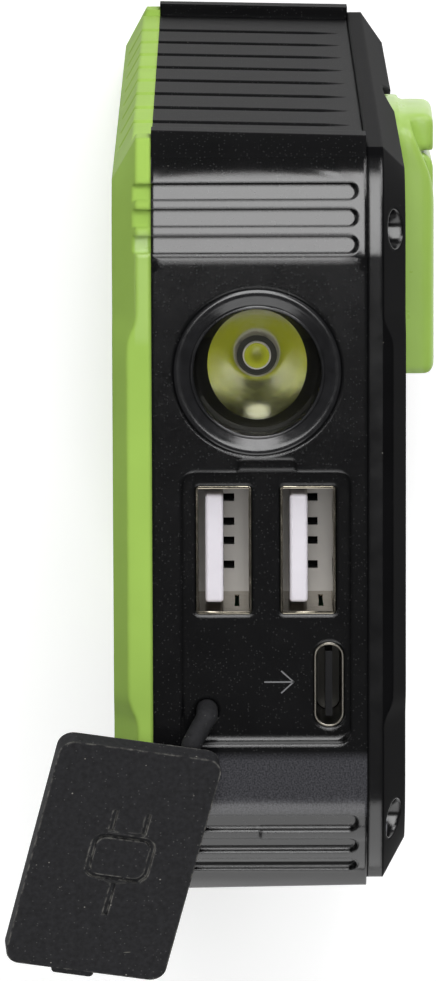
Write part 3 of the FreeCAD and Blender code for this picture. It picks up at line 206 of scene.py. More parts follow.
def start(name, colour, **sockets):
    """A material with one principled shader: gives it, its tree, the shader and its coordinates."""
    made = bpy.data.materials.new(name)
    made.use_nodes = True
    tree = made.node_tree
    tree.nodes.clear()
    values = {key.replace("_", " "): value for key, value in sockets.items()}
    shader = add(tree, "BsdfPrincipled", {"Base Color": opaque(colour), **values})
    add(tree, "OutputMaterial", {"Surface": shader})
    place = add(tree, "TexCoord").outputs["Object"]
    return made, tree, shader, place


def surface(tree, result):
    """Leads a shader to the material's output in place of the first one."""
    output = next(n for n in tree.nodes if n.type == "OUTPUT_MATERIAL")
    lead(tree, result, output.inputs["Surface"])


def shades(colour, spread):
    """A darker and a lighter shade of a colour."""
    return (opaque([c * (1 - spread) for c in colour[:3]]),
            opaque([min(1.0, c * (1 + spread)) for c in colour[:3]]))


def patches(tree, place, shader, colour, spread, size):
    """Colour that drifts a little lighter and darker in patches of one size."""
    noise = add(tree, "TexNoise", {"Vector": place, "Scale": 1 / (size * MM), "Detail": 3.0})
    dark, light = shades(colour, spread)
    ramp = add(tree, "ValToRGB", {"Fac": noise}, stops=[(0.3, dark), (0.7, light)])
    lead(tree, ramp, shader.inputs["Base Color"])
    return ramp


def uneven(tree, place, shader, low, high, size):
    """Roughness that varies between two values in patches of one size."""
    noise = add(tree, "TexNoise", {"Vector": place, "Scale": 1 / (size * MM), "Detail": 4.0})
    rough = add(tree, "MapRange", {"Value": noise, "From Min": 0.3,
                                   "From Max": 0.7, "To Min": low, "To Max": high})
    lead(tree, rough, shader.inputs["Roughness"])


def raised(tree, shader, height, depth, strength=1.0):
    """Gives the shader a relief of one depth; its edges can be softened through the node it gives."""
    bump = add(tree, "Bump", {"Height": height, "Distance": depth * MM, "Strength": strength})
    lead(tree, bump, shader.inputs["Normal"])
    return bump


def grained(tree, place, shader, size, depth, detail=2.0):
    """Fine relief of one grain size and depth."""
    noise = add(tree, "TexNoise", {"Vector": place, "Scale": 1 / (size * MM), "Detail": detail})
    return raised(tree, shader, noise, depth)


def edged(tree, bump, radius):
    """Makes a solid's sharp edges catch the light as if they had a small radius, in metres."""
    edge = add(tree, "Bevel", {"Radius": radius}, samples=8)
    lead(tree, edge, bump.inputs["Normal"])


def dusty(tree, place, shader, body, spacing, size, share, colour):
    """Pale dust specks of one size over a body colour, on a share of the cells of one spacing."""
    cells = add(tree, "TexVoronoi", {"Vector": place, "Scale": 1 / (spacing * MM)})
    reach = size / 2 / spacing
    speck = add(tree, "MapRange", {"Value": cells, "From Min": reach * 1.4, "From Max": reach * 0.7})
    chosen = add(tree, "Math", {0: cells.outputs["Color"], 1: 1 - share}, operation="GREATER_THAN")
    dust = add(tree, "Math", {0: speck, 1: chosen}, operation="MULTIPLY")
    mixed = add(tree, "MixRGB", {"Fac": dust, "Color1": body, "Color2": opaque(colour)})
    lead(tree, mixed, shader.inputs["Base Color"])
    return mixed


def rubbed(tree, place, shader, body, radius, colour):
    """Paler, broken lines where the surface turns within one radius: partly wear, partly a painted
    highlight along the edge.
    """
    edge = add(tree, "Bevel", {"Radius": radius * MM}, samples=8)
    flat = add(tree, "NewGeometry")
    turn = add(tree, "VectorMath", {0: edge, 1: flat.outputs["Normal"]}, operation="DOT_PRODUCT")
    rim = add(tree, "MapRange", {"Value": turn.outputs["Value"], "From Min": 0.99, "From Max": 0.93})
    noise = add(tree, "TexNoise", {"Vector": place, "Scale": 1 / (0.7 * MM), "Detail": 4.0})
    broken = add(tree, "MapRange", {"Value": noise, "From Min": 0.4, "From Max": 0.65})
    wear_and_painted_light = add(tree, "Math", {0: rim, 1: broken}, operation="MULTIPLY")
    mixed = add(tree, "MixRGB", {"Fac": wear_and_painted_light, "Color1": body, "Color2": opaque(colour)})
    lead(tree, mixed, shader.inputs["Base Color"])


def between(tree, value, low, high, soft):
    """1 where a length lies between two levels and 0 outside, with soft ends."""
    rise = add(tree, "MapRange", {"Value": value, "From Min": (low - soft) * MM, "From Max": low * MM})
    fall = add(tree, "MapRange", {"Value": value, "From Min": (high + soft) * MM,
                                  "From Max": high * MM})
    return add(tree, "Math", {0: rise, 1: fall}, operation="MULTIPLY")


def inside(tree, place, zone):
    """1 inside a zone and 0 outside, with soft ends."""
    axes = add(tree, "SeparateXYZ", {"Vector": place})
    mask, *others = [between(tree, axes.outputs[axis], *span) for axis, span in zone.items()]
    for other in others:
        mask = add(tree, "Math", {0: mask, 1: other}, operation="MULTIPLY")
    return mask


def length_after(tree, place, *steps):
    """Length of a place's vector after some steps, each an operation and its second vector."""
    for operation, second in steps:
        place = add(tree, "VectorMath", {0: place, 1: second}, operation=operation)
    return add(tree, "VectorMath", {0: place}, operation="LENGTH").outputs["Value"]


def matt_where(tree, shader, mask, colour, gleam, outside=False):
    """Lets a matt, unpolished mould surface take the shader's place where a mask is 1, or outside it."""
    if outside:
        mask = add(tree, "Math", {0: 1.0, 1: mask}, operation="SUBTRACT")
    matt = add(tree, "BsdfPrincipled", {"Base Color": opaque(colour), "Roughness": 0.55,
                                        "IOR": ABS_IOR, "Specular IOR Level": gleam})
    for name in ("Base Color", "Normal"):
        if shader.inputs[name].is_linked:
            lead(tree, shader.inputs[name].links[0].from_socket, matt.inputs[name])
    both = add(tree, "MixShader", {0: mask, 1: shader, 2: matt})
    surface(tree, both)


# ---- finishes ------------------------------------------------------------------------
def green_abs(look, name, edge, gleaming=None):
    """Moulded ABS, lime green: soft wide highlights over an even, deep colour, all over or in a zone."""
    made, tree, shader, place = start(name, look.green, Roughness=0.32, IOR=ABS_IOR)
    patches(tree, place, shader, look.green, 0.05, 9)
    uneven(tree, place, shader, 0.26, 0.36, 2.5)
    # the mould's polishing marks, drawn at 0.4 mm because the real 0.1 mm would not show
    edged(tree, grained(tree, place, shader, 0.4, 0.004), edge)
    if gleaming:
        matt_where(tree, shader, inside(tree, place, gleaming), look.green, 0.03, outside=True)
    return made


def cover_abs(look):
    """Moulded ABS, black: polished on the end's land and in the screw holes, matt and dusty elsewhere."""
    made, tree, shader, place = start("black_abs_part_polished", look.black, Roughness=0.4, IOR=ABS_IOR)
    body = patches(tree, place, shader, look.black, 0.12, 6)
    dusty(tree, place, shader, body, 1.6, 0.12, 0.3, "6A6964")
    # the four screw holes are folded onto one
    reach = length_after(tree, place, ("SUBTRACT", SCREW_CENTRE * MM), ("ABSOLUTE", (0, 0, 0)),
                         ("SUBTRACT", SCREW_SPREAD * MM), ("MULTIPLY", (1, 0, 1)))
    polished = add(tree, "Math", {0: inside(tree, place, COVER_LAND),
                                  1: between(tree, reach, *SCREW_HOLE)}, operation="MAXIMUM")
    uneven(tree, place, shader, 0.15, 0.2, 2)
    edged(tree, grained(tree, place, shader, 0.35, 0.004), look.edge * 2.5)
    matt_where(tree, shader, polished, look.black, 0.008, outside=True)
    return made


def housing_abs(look):
    """Moulded ABS, black: spark-eroded on the end's panel, polished on its corners, matt on one side."""
    made, tree, shader, place = start("black_abs_spark_eroded", look.black, Roughness=0.33, IOR=ABS_IOR)
    body = patches(tree, place, shader, look.black, 0.12, 5)
    fine = dusty(tree, place, shader, body, 0.28, 0.13, 0.4, "2B2B2B")
    wear_and_painted_light = dusty(tree, place, shader, fine, 1.5, 0.15, 0.1, "4C4B48")
    # beyond the sockets the grit is coarser and greyer
    speckle = add(tree, "TexNoise", {"Vector": place, "Scale": 1 / (0.17 * MM), "Detail": 2.0})
    shade = add(tree, "ValToRGB", {"Fac": speckle},
                stops=[(0.35, opaque("2C2C2F")), (0.65, opaque("454549"))])
    grey = add(tree, "MixRGB", {"Fac": inside(tree, place, COARSE_GRIT), "Color1": wear_and_painted_light,
                                "Color2": shade})
    lead(tree, grey, shader.inputs["Base Color"])
    # erosion grit of 0.05 mm, drawn at 0.1 mm so that it shows; off the panel it is faint
    grit = add(tree, "TexNoise", {"Vector": place, "Scale": 1 / (0.1 * MM), "Detail": 2.0})
    soft = add(tree, "Math", {0: inside(tree, place, HOUSING_PANEL), 1: 0.85, 2: 0.15},
               operation="MULTIPLY_ADD")
    height = add(tree, "Math", {0: grit, 1: soft}, operation="MULTIPLY")
    bump = raised(tree, shader, height, 0.006)
    # the panel runs softly into the last groove
    radius = add(tree, "Math", {0: inside(tree, place, PANEL_RUN_OUT), 1: 1.0 * MM,
                                2: look.edge * 2.0}, operation="MULTIPLY_ADD")
    edged(tree, bump, radius)
    uneven(tree, place, shader, 0.1, 0.13, 3)
    matt_where(tree, shader, inside(tree, place, HOUSING_SIDE), look.black, 0.03)
    return made


def ring_abs(look):
    """Moulded ABS, black, turned mould: paler than the shells, satin, with circles round the torch."""
    paler = [2.5 * c for c in look.black]
    made, tree, shader, place = start("black_abs_turned_mould", paler, Roughness=0.3, IOR=ABS_IOR)
    patches(tree, place, shader, paler, 0.25, 1.5)
    uneven(tree, place, shader, 0.13, 0.2, 0.8)
    centred = add(tree, "Mapping", {"Vector": place, "Location": -TORCH * MM})
    # turning marks of 0.05 mm, drawn at about 0.5 mm so that they show
    rings = add(tree, "TexWave", {"Vector": centred, "Distortion": 0.3,
                                  "Scale": WAVE_TURN / (0.49347 * MM)},
                wave_type="RINGS", rings_direction="Z")
    raised(tree, shader, rings.outputs["Fac"], 0.002)
    return made


def dusty_rubber(look):
    """Moulded TPE rubber, black, matt: no sharp highlight, fine grain, pale specks, scratches, and pale
    edge lines that are partly wear and partly a painted highlight.
    """
    made, tree, shader, place = start("black_rubber_moulded", look.rubber, Roughness=0.78, IOR=1.5,
                                      Specular_IOR_Level=0.2)
    body = patches(tree, place, shader, look.rubber, 0.3, 0.5)
    fine = dusty(tree, place, shader, body, 0.42, 0.12, 0.4, "4C4C4B")
    specks = dusty(tree, place, shader, fine, 1.25, 0.15, 0.35, "8E8C86")
    # scratches are specks drawn out seven times along a slant
    drawn = add(tree, "Mapping", {"Vector": place, "Rotation": (0, 0, 0.9), "Scale": (1, 0.14, 1)})
    marks = dusty(tree, drawn, shader, specks, 1.1, 0.11, 0.12, "66655F")
    # pale broken lines on the rim: partly wear, partly a painted edge highlight
    rubbed(tree, place, shader, marks, 0.35, "63625E")
    grained(tree, place, shader, 0.3, 0.02, 4.0)
    return made


def nickel_steel():
    """Nickel-plated steel sheet, stamped: bright, slightly warm metal, with painted shade making it
    near-black at the socket's foot.
    """
    made, tree, shader, place = start("nickel_plated_steel", linear("B4AFA6"), Metallic=1.0, Roughness=0.15)
    bright = patches(tree, place, shader, linear("A39C8D"), 0.14, 1.4)
    # painted shade: near-black deep in the socket
    shaded_foot = add(tree, "MixRGB", {"Fac": inside(tree, place, SOCKET_SHADE), "Color1": bright,
                                "Color2": opaque("0A0A0A")})
    lead(tree, shaded_foot, shader.inputs["Base Color"])
    uneven(tree, place, shader, 0.1, 0.2, 1.2)
    grained(tree, place, shader, 0.25, 0.004)
    return made


def shaded_drawn_steel():
    """Nickel-plated steel sheet, deep drawn: painted shade makes it darker than the stamped sheet and
    darker still deep inside, below a thin brighter rim.
    """
    made, tree, shader, place = start("nickel_plated_steel_drawn", linear("8E8B84"), Metallic=1.0,
                                      Roughness=0.3)
    axes = add(tree, "SeparateXYZ", {"Vector": place})
    low, high = SOCKET_RIM
    level = add(tree, "MapRange", {"Value": axes.outputs["Z"], "From Min": low * MM,
                                   "From Max": high * MM})
    # painted shade, darkest deep in the socket
    deep = add(tree, "ValToRGB", {"Fac": level},
               stops=[(0.0, opaque("3A3936")), (1.0, opaque("8F8B81"))])
    lead(tree, deep, shader.inputs["Base Color"])
    grained(tree, place, shader, 0.25, 0.004)
    return made


def turned_steel():
    """Bright turned steel: clean grey metal with thin ring marks."""
    made, tree, shader, place = start("bright_steel_turned", linear("B9BABC"), Metallic=1.0, Roughness=0.28)
    # turning marks of 0.1 mm, drawn at about 1.2 mm so that they show
    rings = add(tree, "TexWave", {"Vector": place, "Scale": WAVE_TURN / (1.18432 * MM),
                                  "Distortion": 0.4}, wave_type="RINGS", rings_direction="Y")
    raised(tree, shader, rings.outputs["Fac"], 0.004)
    return made


def black_zinc():
    """Black zinc-plated screw steel: dark metal with small bright edges."""
    steel = linear("4A4A4D")
    made, tree, shader, place = start("black_zinc_steel", steel, Metallic=1.0, Roughness=0.3)
    patches(tree, place, shader, steel, 0.25, 0.8)
    uneven(tree, place, shader, 0.2, 0.42, 0.6)
    return made


def white_nylon():
    """Moulded nylon, white, matt: bright at the tongue, greyer at its carrier, with painted shade making it
    near-black low in its openings.
    """
    made, tree, shader, place = start("white_nylon_moulded", linear("DAD6DD"), Roughness=0.45, IOR=ABS_IOR)
    axes = add(tree, "SeparateXYZ", {"Vector": place})
    level = add(tree, "MapRange", {"Value": axes.outputs["Z"], "From Min": SOCKET_FOOT * MM,
                                   "From Max": (SOCKET_FOOT + 3) * MM})
    # painted shade: near-black at the foot, in the openings; greyer above that
    wear_and_painted_light = add(tree, "ValToRGB", {"Fac": level},
               stops=[(0.3, opaque("1A1816")), (0.36, opaque("CBC7C2")),
                      (0.7, opaque("CBC7C2")), (1.0, opaque("DAD6DD"))])
    fresh = patches(tree, place, shader, (1.0, 1.0, 1.0), 0.04, 2)
    both = add(tree, "MixRGB", {"Fac": 1.0, "Color1": fresh, "Color2": wear_and_painted_light}, blend_type="MULTIPLY")
    lead(tree, both, shader.inputs["Base Color"])
    grained(tree, place, shader, 0.3, 0.006)
    return made


def black_nylon():
    """Moulded glass-filled nylon, black: matt with a fine sparkle."""
    black = linear("1B1B1D")
    made, tree, shader, place = start("black_nylon_moulded", black, Roughness=0.5, IOR=ABS_IOR)
    patches(tree, place, shader, black, 0.2, 1)
    grained(tree, place, shader, 0.25, 0.01)
    return made


def dark_contact():
    """Phosphor bronze springs: dark brown metal, a painted shade for the dark deep in the socket."""
    brown = linear("140F0C")
    made, tree, shader, place = start("phosphor_bronze_painted_shade", brown, Metallic=1.0, Roughness=0.35)
    patches(tree, place, shader, brown, 0.3, 0.5)
    uneven(tree, place, shader, 0.28, 0.42, 0.5)
    return made


def clear_sheet(name, tint, gloss):
    """Polycarbonate, clear, polished: see-through with a surface gleam that grows at a slant."""
    made, tree, shader, place = start(name, linear("0A0A0A"), Roughness=gloss, IOR=POLYCARBONATE_IOR)
    uneven(tree, place, shader, gloss, gloss + 0.03, 3)
    clear = add(tree, "BsdfTransparent", {"Color": opaque(tint)})
    slant = add(tree, "Fresnel", {"IOR": POLYCARBONATE_IOR})
    both = add(tree, "MixShader", {0: slant, 1: clear, 2: shader})
    surface(tree, both)
    return made


def mirror_film(look):
    """Vapour-metallised reflector: a mirror with the faint ripple of its moulding."""
    made, tree, shader, place = start("aluminised_film", look.mirror, Metallic=1.0, Roughness=0.1)
    uneven(tree, place, shader, 0.08, 0.13, 1)
    grained(tree, place, shader, 1.5, 0.004)
    return made


def phosphor_dome(look):
    """Silicone over yellow phosphor: satin yellow, darker green in the middle where the chip lies."""
    made, tree, shader, place = start("yellow_phosphor_silicone", look.phosphor, Roughness=0.25, IOR=1.41)
    reach = length_after(tree, place, ("SUBTRACT", TORCH * MM), ("MULTIPLY", (1, 1, 0)))
    share = add(tree, "MapRange", {"Value": reach, "From Min": 0.15 * MM, "From Max": 1.1 * MM})
    dark, light = shades(look.phosphor, 0.45)[0], opaque(look.phosphor)
    ramp = add(tree, "ValToRGB", {"Fac": share}, stops=[(0.2, dark), (0.8, light)])
    lead(tree, ramp, shader.inputs["Base Color"])
    grained(tree, place, shader, 0.2, 0.01)
    return made


def circuit_board():
    """Glass-epoxy board with green solder mask: glossy green with copper tracks showing through."""
    made, tree, shader, place = start("green_solder_mask", linear("1F5A36"), Roughness=0.35, IOR=1.5)
    cells = add(tree, "TexVoronoi", {"Vector": place, "Scale": 1 / (4 * MM)},
                feature="DISTANCE_TO_EDGE")
    tracks = add(tree, "ValToRGB", {"Fac": cells},
                 stops=[(0.03, opaque("3C8A55")), (0.06, opaque("1F5A36"))])
    lead(tree, tracks, shader.inputs["Base Color"])
    raised(tree, shader, cells, 0.02, 0.6)
    return made


def plain(name, colour, roughness, grain, relief, drift=0.1, metallic=0.0):
    """A moulded, cast or wound part with its own grain size and relief."""
    made, tree, shader, place = start(name, linear(colour), Roughness=roughness, Metallic=metallic)
    patches(tree, place, shader, linear(colour), drift, grain * 4)
    grained(tree, place, shader, grain, relief)
    return made


def silicon_cells():
    """Screen-printed silicon cells: near-black blue with thin silver fingers and wider bus bars."""
    made, tree, shader, place = start("silicon_solar_cell", linear("0B1024"), Roughness=0.22, IOR=1.5)
    axes = add(tree, "SeparateXYZ", {"Vector": place})
    lines = []
    # axis, pitch in millimetres, and the printed share of it: fingers, then bus bars
    for axis, pitch, share in (("Z", 1.8, 0.1), ("X", 14, 0.06)):
        scaled = add(tree, "Math", {0: axes.outputs[axis], 1: 1 / (pitch * MM)}, operation="MULTIPLY")
        wave = add(tree, "Math", {0: scaled, 1: 1.0, 2: 0.0}, operation="WRAP")
        line = add(tree, "Math", {0: wave, 1: share}, operation="LESS_THAN")
        lines.append(line)
    printed = add(tree, "Math", {0: lines[0], 1: lines[1]}, operation="MAXIMUM")
    crystal = add(tree, "TexVoronoi", {"Vector": place, "Scale": 1 / (6 * MM)})
    blue = add(tree, "ValToRGB", {"Fac": crystal},
               stops=[(0.1, opaque("0A0E22")), (0.8, opaque("131C40"))])
    mixed = add(tree, "MixRGB", {"Fac": printed, "Color1": blue, "Color2": opaque("9AA0A8")})
    lead(tree, mixed, shader.inputs["Base Color"])
    return made


# ---- mesh helpers ----------------------------------------------------------------
def placed(name, data):
    """A new object in the scene that holds a mesh, a light or a camera."""
    made = bpy.data.objects.new(name, data)
    bpy.context.scene.collection.objects.link(made)
    return made


def show(name, mesh, material, body, sharp=35):
    """Makes a mesh a piece that rides on a body, smooth except at edges sharper than an angle."""
    mesh.name = name
    mesh.materials.clear()
    mesh.materials.append(material)
    mesh.shade_smooth()
    mesh.set_sharp_from_angle(angle=math.radians(sharp))
    made = placed(name, mesh)
    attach(made, body)
    return made


def evened(made):
    """Shades a piece's large faces flat and lets its small ones turn between them."""
    shading = made.modifiers.new("Shading", "WEIGHTED_NORMAL")
    shading.weight = 100
    shading.keep_sharp = True


def rounded(made, width, segments, angle):
    """Rounds a piece's edges with a bevel, its width in metres."""
    bevel = made.modifiers.new("Edges", "BEVEL")
    bevel.width = width
    bevel.segments = segments
    bevel.limit_method = "ANGLE"
    bevel.angle_limit = math.radians(angle)
    bevel.use_clamp_overlap = True
    evened(made)


def as_mesh(shape):
    """Ends a bmesh as a mesh with outward faces."""
    bmesh.ops.recalc_face_normals(shape, faces=shape.faces)
    mesh = bpy.data.meshes.new("mesh")
    shape.to_mesh(mesh)
    shape.free()
    return mesh


def lathe(profile, centre, steps=96, closed=False):
    """A mesh turned about Z through centre; the profile is (radius, height) in millimetres."""
    shape = bmesh.new()
    rings = []
    for radius, height in profile:
        if radius < 1e-6:
            rings.append([shape.verts.new((centre + Vector((0, 0, height))) * MM)])
            continue
        ring = []
        for step in range(steps):
            angle = 2 * math.pi * step / steps
            spot = Vector((radius * math.cos(angle), radius * math.sin(angle), height))
            ring.append(shape.verts.new((centre + spot) * MM))
        rings.append(ring)
    pairs = list(zip(rings, rings[1:]))
    if closed:
        pairs.append((rings[-1], rings[0]))
    for low, high in pairs:
        for step in range(steps):
            after = (step + 1) % steps
            corners = [low[step % len(low)], low[after % len(low)],
                       high[after % len(high)], high[step % len(high)]]
            shape.faces.new(list(dict.fromkeys(corners)))
    return as_mesh(shape)


def prism(shape, points, low, high):
    """Adds to a bmesh a straight-sided block over a flat outline, in millimetres."""
    base = [shape.verts.new(Vector((x, y, low)) * MM) for x, y in points]
    top = [shape.verts.new(Vector((x, y, high)) * MM) for x, y in points]
    shape.faces.new(base[::-1])
    shape.faces.new(top)
    for i in range(len(points)):
        j = (i + 1) % len(points)
        shape.faces.new((base[i], base[j], top[j], top[i]))


def block(points, low, high):
    """A mesh of one straight-sided block."""
    shape = bmesh.new()
    prism(shape, points, low, high)
    return as_mesh(shape)


def round_rectangle(x0, x1, y0, y1, radius, steps=6):
    """Outline of a rectangle with round corners, anticlockwise."""
    points = []
    for cx, cy, first in ((x1 - radius, y1 - radius, 0), (x0 + radius, y1 - radius, 90),
                          (x0 + radius, y0 + radius, 180), (x1 - radius, y0 + radius, 270)):
        for step in range(steps + 1):
            angle = math.radians(first + 90 * step / steps)
            points.append((cx + radius * math.cos(angle), cy + radius * math.sin(angle)))
    return points


def settled(made, *helpers):
    """The mesh of an object after its modifiers; the object and its helpers are removed."""
    bpy.context.view_layer.update()
    result = bpy.data.meshes.new_from_object(made.evaluated_get(bpy.context.evaluated_depsgraph_get()))
    for gone in (made, *helpers):
        bpy.data.objects.remove(gone)
    return result


def combined(mesh, others, operation):
    """A mesh after other meshes are joined to it or cut from it."""
    made = placed("body", mesh)
    helpers = [placed("helper", other) for other in others]
    for helper in helpers:
        boolean = made.modifiers.new("Shape", "BOOLEAN")
        boolean.operation = operation
        boolean.solver = "EXACT"
        boolean.object = helper
    return settled(made, *helpers)


def tube(path, radius, neck, steps):
    """A round bar along a path, its last run a share thinner and ended by a ball, in millimetres."""
    shape = bmesh.new()
    rings = []
    side = Vector((1, 0, 0))
    slim = radius * neck
    spots = [(spot, radius) for spot in path[:-2]] + [(spot, slim) for spot in path[-2:]]
    ahead = (path[-1] - path[-2]).normalized()
    for turn in (30, 60, 80):
        angle = math.radians(turn)
        spots.append((path[-1] + ahead * slim * math.sin(angle), slim * math.cos(angle)))
    for index, (spot, size) in enumerate(spots):
        before = spots[max(index - 1, 0)][0]
        after = spots[min(index + 1, len(spots) - 1)][0]
        along = (after - before).normalized()
        side = (side - along * side.dot(along)).normalized()
        up = along.cross(side)
        rings.append([shape.verts.new((spot + (side * math.cos(a) + up * math.sin(a)) * size) * MM)
                      for a in (2 * math.pi * i / steps for i in range(steps))])
    for low, high in zip(rings, rings[1:]):
        for i in range(steps):
            j = (i + 1) % steps
            shape.faces.new((low[i], low[j], high[j], high[i]))
    shape.faces.new(rings[0][::-1])
    shape.faces.new(rings[-1])
    return as_mesh(shape)


def dress(material, *names):
    """Gives solids their material in place of the plain one."""
    for name in names:
        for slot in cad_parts[name].material_slots:
            slot.material = material


def copied(node):
    """A bmesh copy of a solid with its faces joined at their corners."""
    shape = bmesh.new()
    shape.from_mesh(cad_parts[node].data)
    bmesh.ops.remove_doubles(shape, verts=shape.verts, dist=WELD * MM)
    return shape


def skinned(node, material, body):
    """A copy of a solid whose edges are rubbed soft all over, shown in its place."""
    made = show(node + "_moulded", as_mesh(copied(node)), material, body, 180)
    skin = made.modifiers.new("Skin", "REMESH")
    skin.mode = "VOXEL"
    skin.voxel_size = SKIN_CELL * MM
    skin.use_smooth_shade = True
    soft = made.modifiers.new("Soft", "SMOOTH")
    soft.factor = 0.5
    soft.iterations = SKIN_PASSES
    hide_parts(node)


def softened(node, material, body, angle):
    """A copy of a solid with soft edges where it turns by more than an angle, shown in its place."""
    shape = copied(node)
    bmesh.ops.dissolve_limit(shape, angle_limit=math.radians(0.5), verts=shape.verts, edges=shape.edges)
    made = show(node + "_moulded", as_mesh(shape), material, body)
    rounded(made, SHELL_BEVEL * MM, 2, angle)
    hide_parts(node)


# ---- operators ----------------------------------------------------------------------
class POWERBANK_OT_case(bpy.types.Operator):
    """Dresses the housing, the green frame, the back shell and their screws"""
    bl_idname = "powerbank.case"
    bl_label = "Case shells"

    def execute(self, context):
        look = context.scene.powerbank_shell
        dress(housing_abs(look), "main_housing")
        dress(cover_abs(look), "back_cover", "power_button")
        dress(green_abs(look, "lime_green_abs_satin", look.edge * 2.8, FRAME_RIBS), "front_bezel")
        dress(black_zinc(), "case_screws", "gear_plate_screws", "board_screws", "crank_screw")
        return {"FINISHED"}


class POWERBANK_OT_solar_front(bpy.types.Operator):
    """Dresses the solar cells, their window and the charge lights"""
    bl_idname = "powerbank.solar_front"
    bl_label = "Solar front"

    def execute(self, context):
        dress(silicon_cells(), "solar_cells")
        dress(clear_sheet("clear_polycarbonate_window", linear("F4F6F6"), 0.02), "solar_window")
        # cloudy white that spreads the light of the lamps behind it
        dress(plain("milky_polycarbonate", "DDE3E6", 0.3, 0.4, 0.002, 0.03), "indicator_lenses")
        dress(black_nylon(), "front_plate")
        return {"FINISHED"}


class POWERBANK_OT_torch(bpy.types.Operator):
    """Builds the torch's ring, mirror and LED"""
    bl_idname = "powerbank.torch"
    bl_label = "Torch"

    def execute(self, context):
        look = context.scene.powerbank_torch
        bore, land, outside = RING_RADII
        foot, crest, top = RING_LEVELS
        profile = [(bore, foot), (outside, foot)]
        profile += [(outside - inward, top - down) for inward, down in RING_EDGE]
        profile += [(land + 0.25, top - 0.03), (land, top - 0.1), (bore + 0.4, crest - 0.05)]
        profile += [(bore + RING_BEAD + RING_BEAD * math.cos(a), crest - 0.06 + RING_BEAD * math.sin(a))
                    for a in (math.radians(20 + 20 * i) for i in range(9))]
        ring = show("torch_ring", lathe(profile, TORCH, closed=True),
                    ring_abs(context.scene.powerbank_shell), "case", 25)
        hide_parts("lamp_ring")

        foot_radius, mouth_radius, rim = CUP_RADII
        low, high = CUP_LEVELS
        mirror, outer = [], []
        for index in range(CUP_STEPS + 1):
            share = index / CUP_STEPS
            radius = math.sqrt(foot_radius ** 2 + (mouth_radius ** 2 - foot_radius ** 2) * share)
            outer.append((radius + CUP_WALL, low + (high - low) * share))
            if CUP_HOLE < radius < CUP_EDGE:
                mirror.append((radius, low + (high - low) * share))
        mirror_foot, mirror_edge = mirror[0][1], mirror[-1][1]
        profile = mirror + [(outer[-1][0], mirror_edge)] + outer[CUP_SHOULDER::-1] + [(CUP_HOLE, low)]
        seam = mirror_edge + 0.02
        # a black ring over the mirror's edge: a painted dark reflection
        dark_ring = lathe([(CUP_EDGE, seam), (mouth_radius - 0.1, high), (rim, high), (rim, high - CUP_WALL),
                     (mouth_radius + CUP_WALL, seam)], TORCH, closed=True)
        for vertex in dark_ring.vertices:
            if (vertex.co / MM - TORCH).xy.length < CUP_EDGE + 0.01:
                vertex.co.y = (TORCH.y + (vertex.co.y / MM - TORCH.y) * CUP_WINDOW / CUP_EDGE) * MM
        show("torch_painted_dark_ring", dark_ring, black_nylon(), "case", 60)
        cup = show("torch_mirror", lathe(profile, TORCH, closed=True), mirror_film(look), "case",
                   25)
        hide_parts("reflector")
        wall = [(CUP_HOLE - 0.1, low), (CUP_HOLE, low), (CUP_HOLE, mirror_foot),
                (CUP_HOLE - 0.1, mirror_foot)]
        show("torch_mirror_foot", lathe(wall, TORCH, closed=True), black_nylon(), "case", 25)

        glow, package = LED_RADII
        level = low + LED_HEIGHT
        base = [(0, low), (package - 0.05, low), (package, low + 0.05), (package, level - 0.05),
                (package - 0.05, level), (0, level)]
        show("led_package", lathe(base, TORCH, 48), white_nylon(), "case")
        side, rise = low + DOME_LEVELS[0], DOME_LEVELS[1]
        cap = [(0, level - 0.04), (glow, level - 0.04)]
        cap += [(glow * math.cos(a), side + rise * math.sin(a))
                for a in (math.radians(15 * i) for i in range(6))]
        dome = show("led_phosphor", lathe(cap + [(0, side + rise)], TORCH, 48), phosphor_dome(look),
                    "case", 60)
        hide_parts("torch_led")

        dress(clear_sheet("clear_polycarbonate_lens", linear("FBFBF6"), 0.0), "lamp_lens")
        dress(black_nylon(), "led_board")
        dress(circuit_board(), "port_board", "main_board")
        return {"FINISHED"}


class POWERBANK_OT_ports(bpy.types.Operator):
    """Builds the two square sockets, the oval socket and the arrow beside it"""
    bl_idname = "powerbank.ports"
    bl_label = "Ports"

    def execute(self, context):
        steel = nickel_steel()
        for number in (1, 2):
            softened(f"usb_a_shell_{number}", steel, "case", 40)
        softened("usb_c_shell", shaded_drawn_steel(), "case", 60)
        dress(white_nylon(), "usb_a_tongue_1", "usb_a_tongue_2")
        # the springs' dark brown is painted shade of the socket's depth
        dress(dark_contact(), "usb_a_contacts_1", "usb_a_contacts_2")
        # near-black with a soft gleam
        dress(plain("black_lcp_moulded", "101012", 0.22, 0.2, 0.003), "usb_c_tongue", "usb_c_riser")

        # a thin raised arrow that points to the charging socket, in a paler grey than the housing
        shape = bmesh.new()
        foot, top = (POCKET_FLOOR + level for level in ARROW_LEVELS)
        for ax, ay, bx, by in ARROW_LINES:
            run = Vector((bx - ax, by - ay)).normalized() * ARROW_STROKE / 2
            side = Vector((-run.y, run.x))
            a, b = (Vector((ARROW_TIP.x + x, ARROW_TIP.y + y)) for x, y in ((ax, ay), (bx, by)))
            points = [a - run - side, b + run - side, b + run + side, a - run + side]
            prism(shape, [(p.x, p.y) for p in points], foot, top)
        show("port_arrow", as_mesh(shape), plain("black_abs_raised_mark", "6E6E70", 0.35, 0.3, 0.004),
             "case")
        return {"FINISHED"}


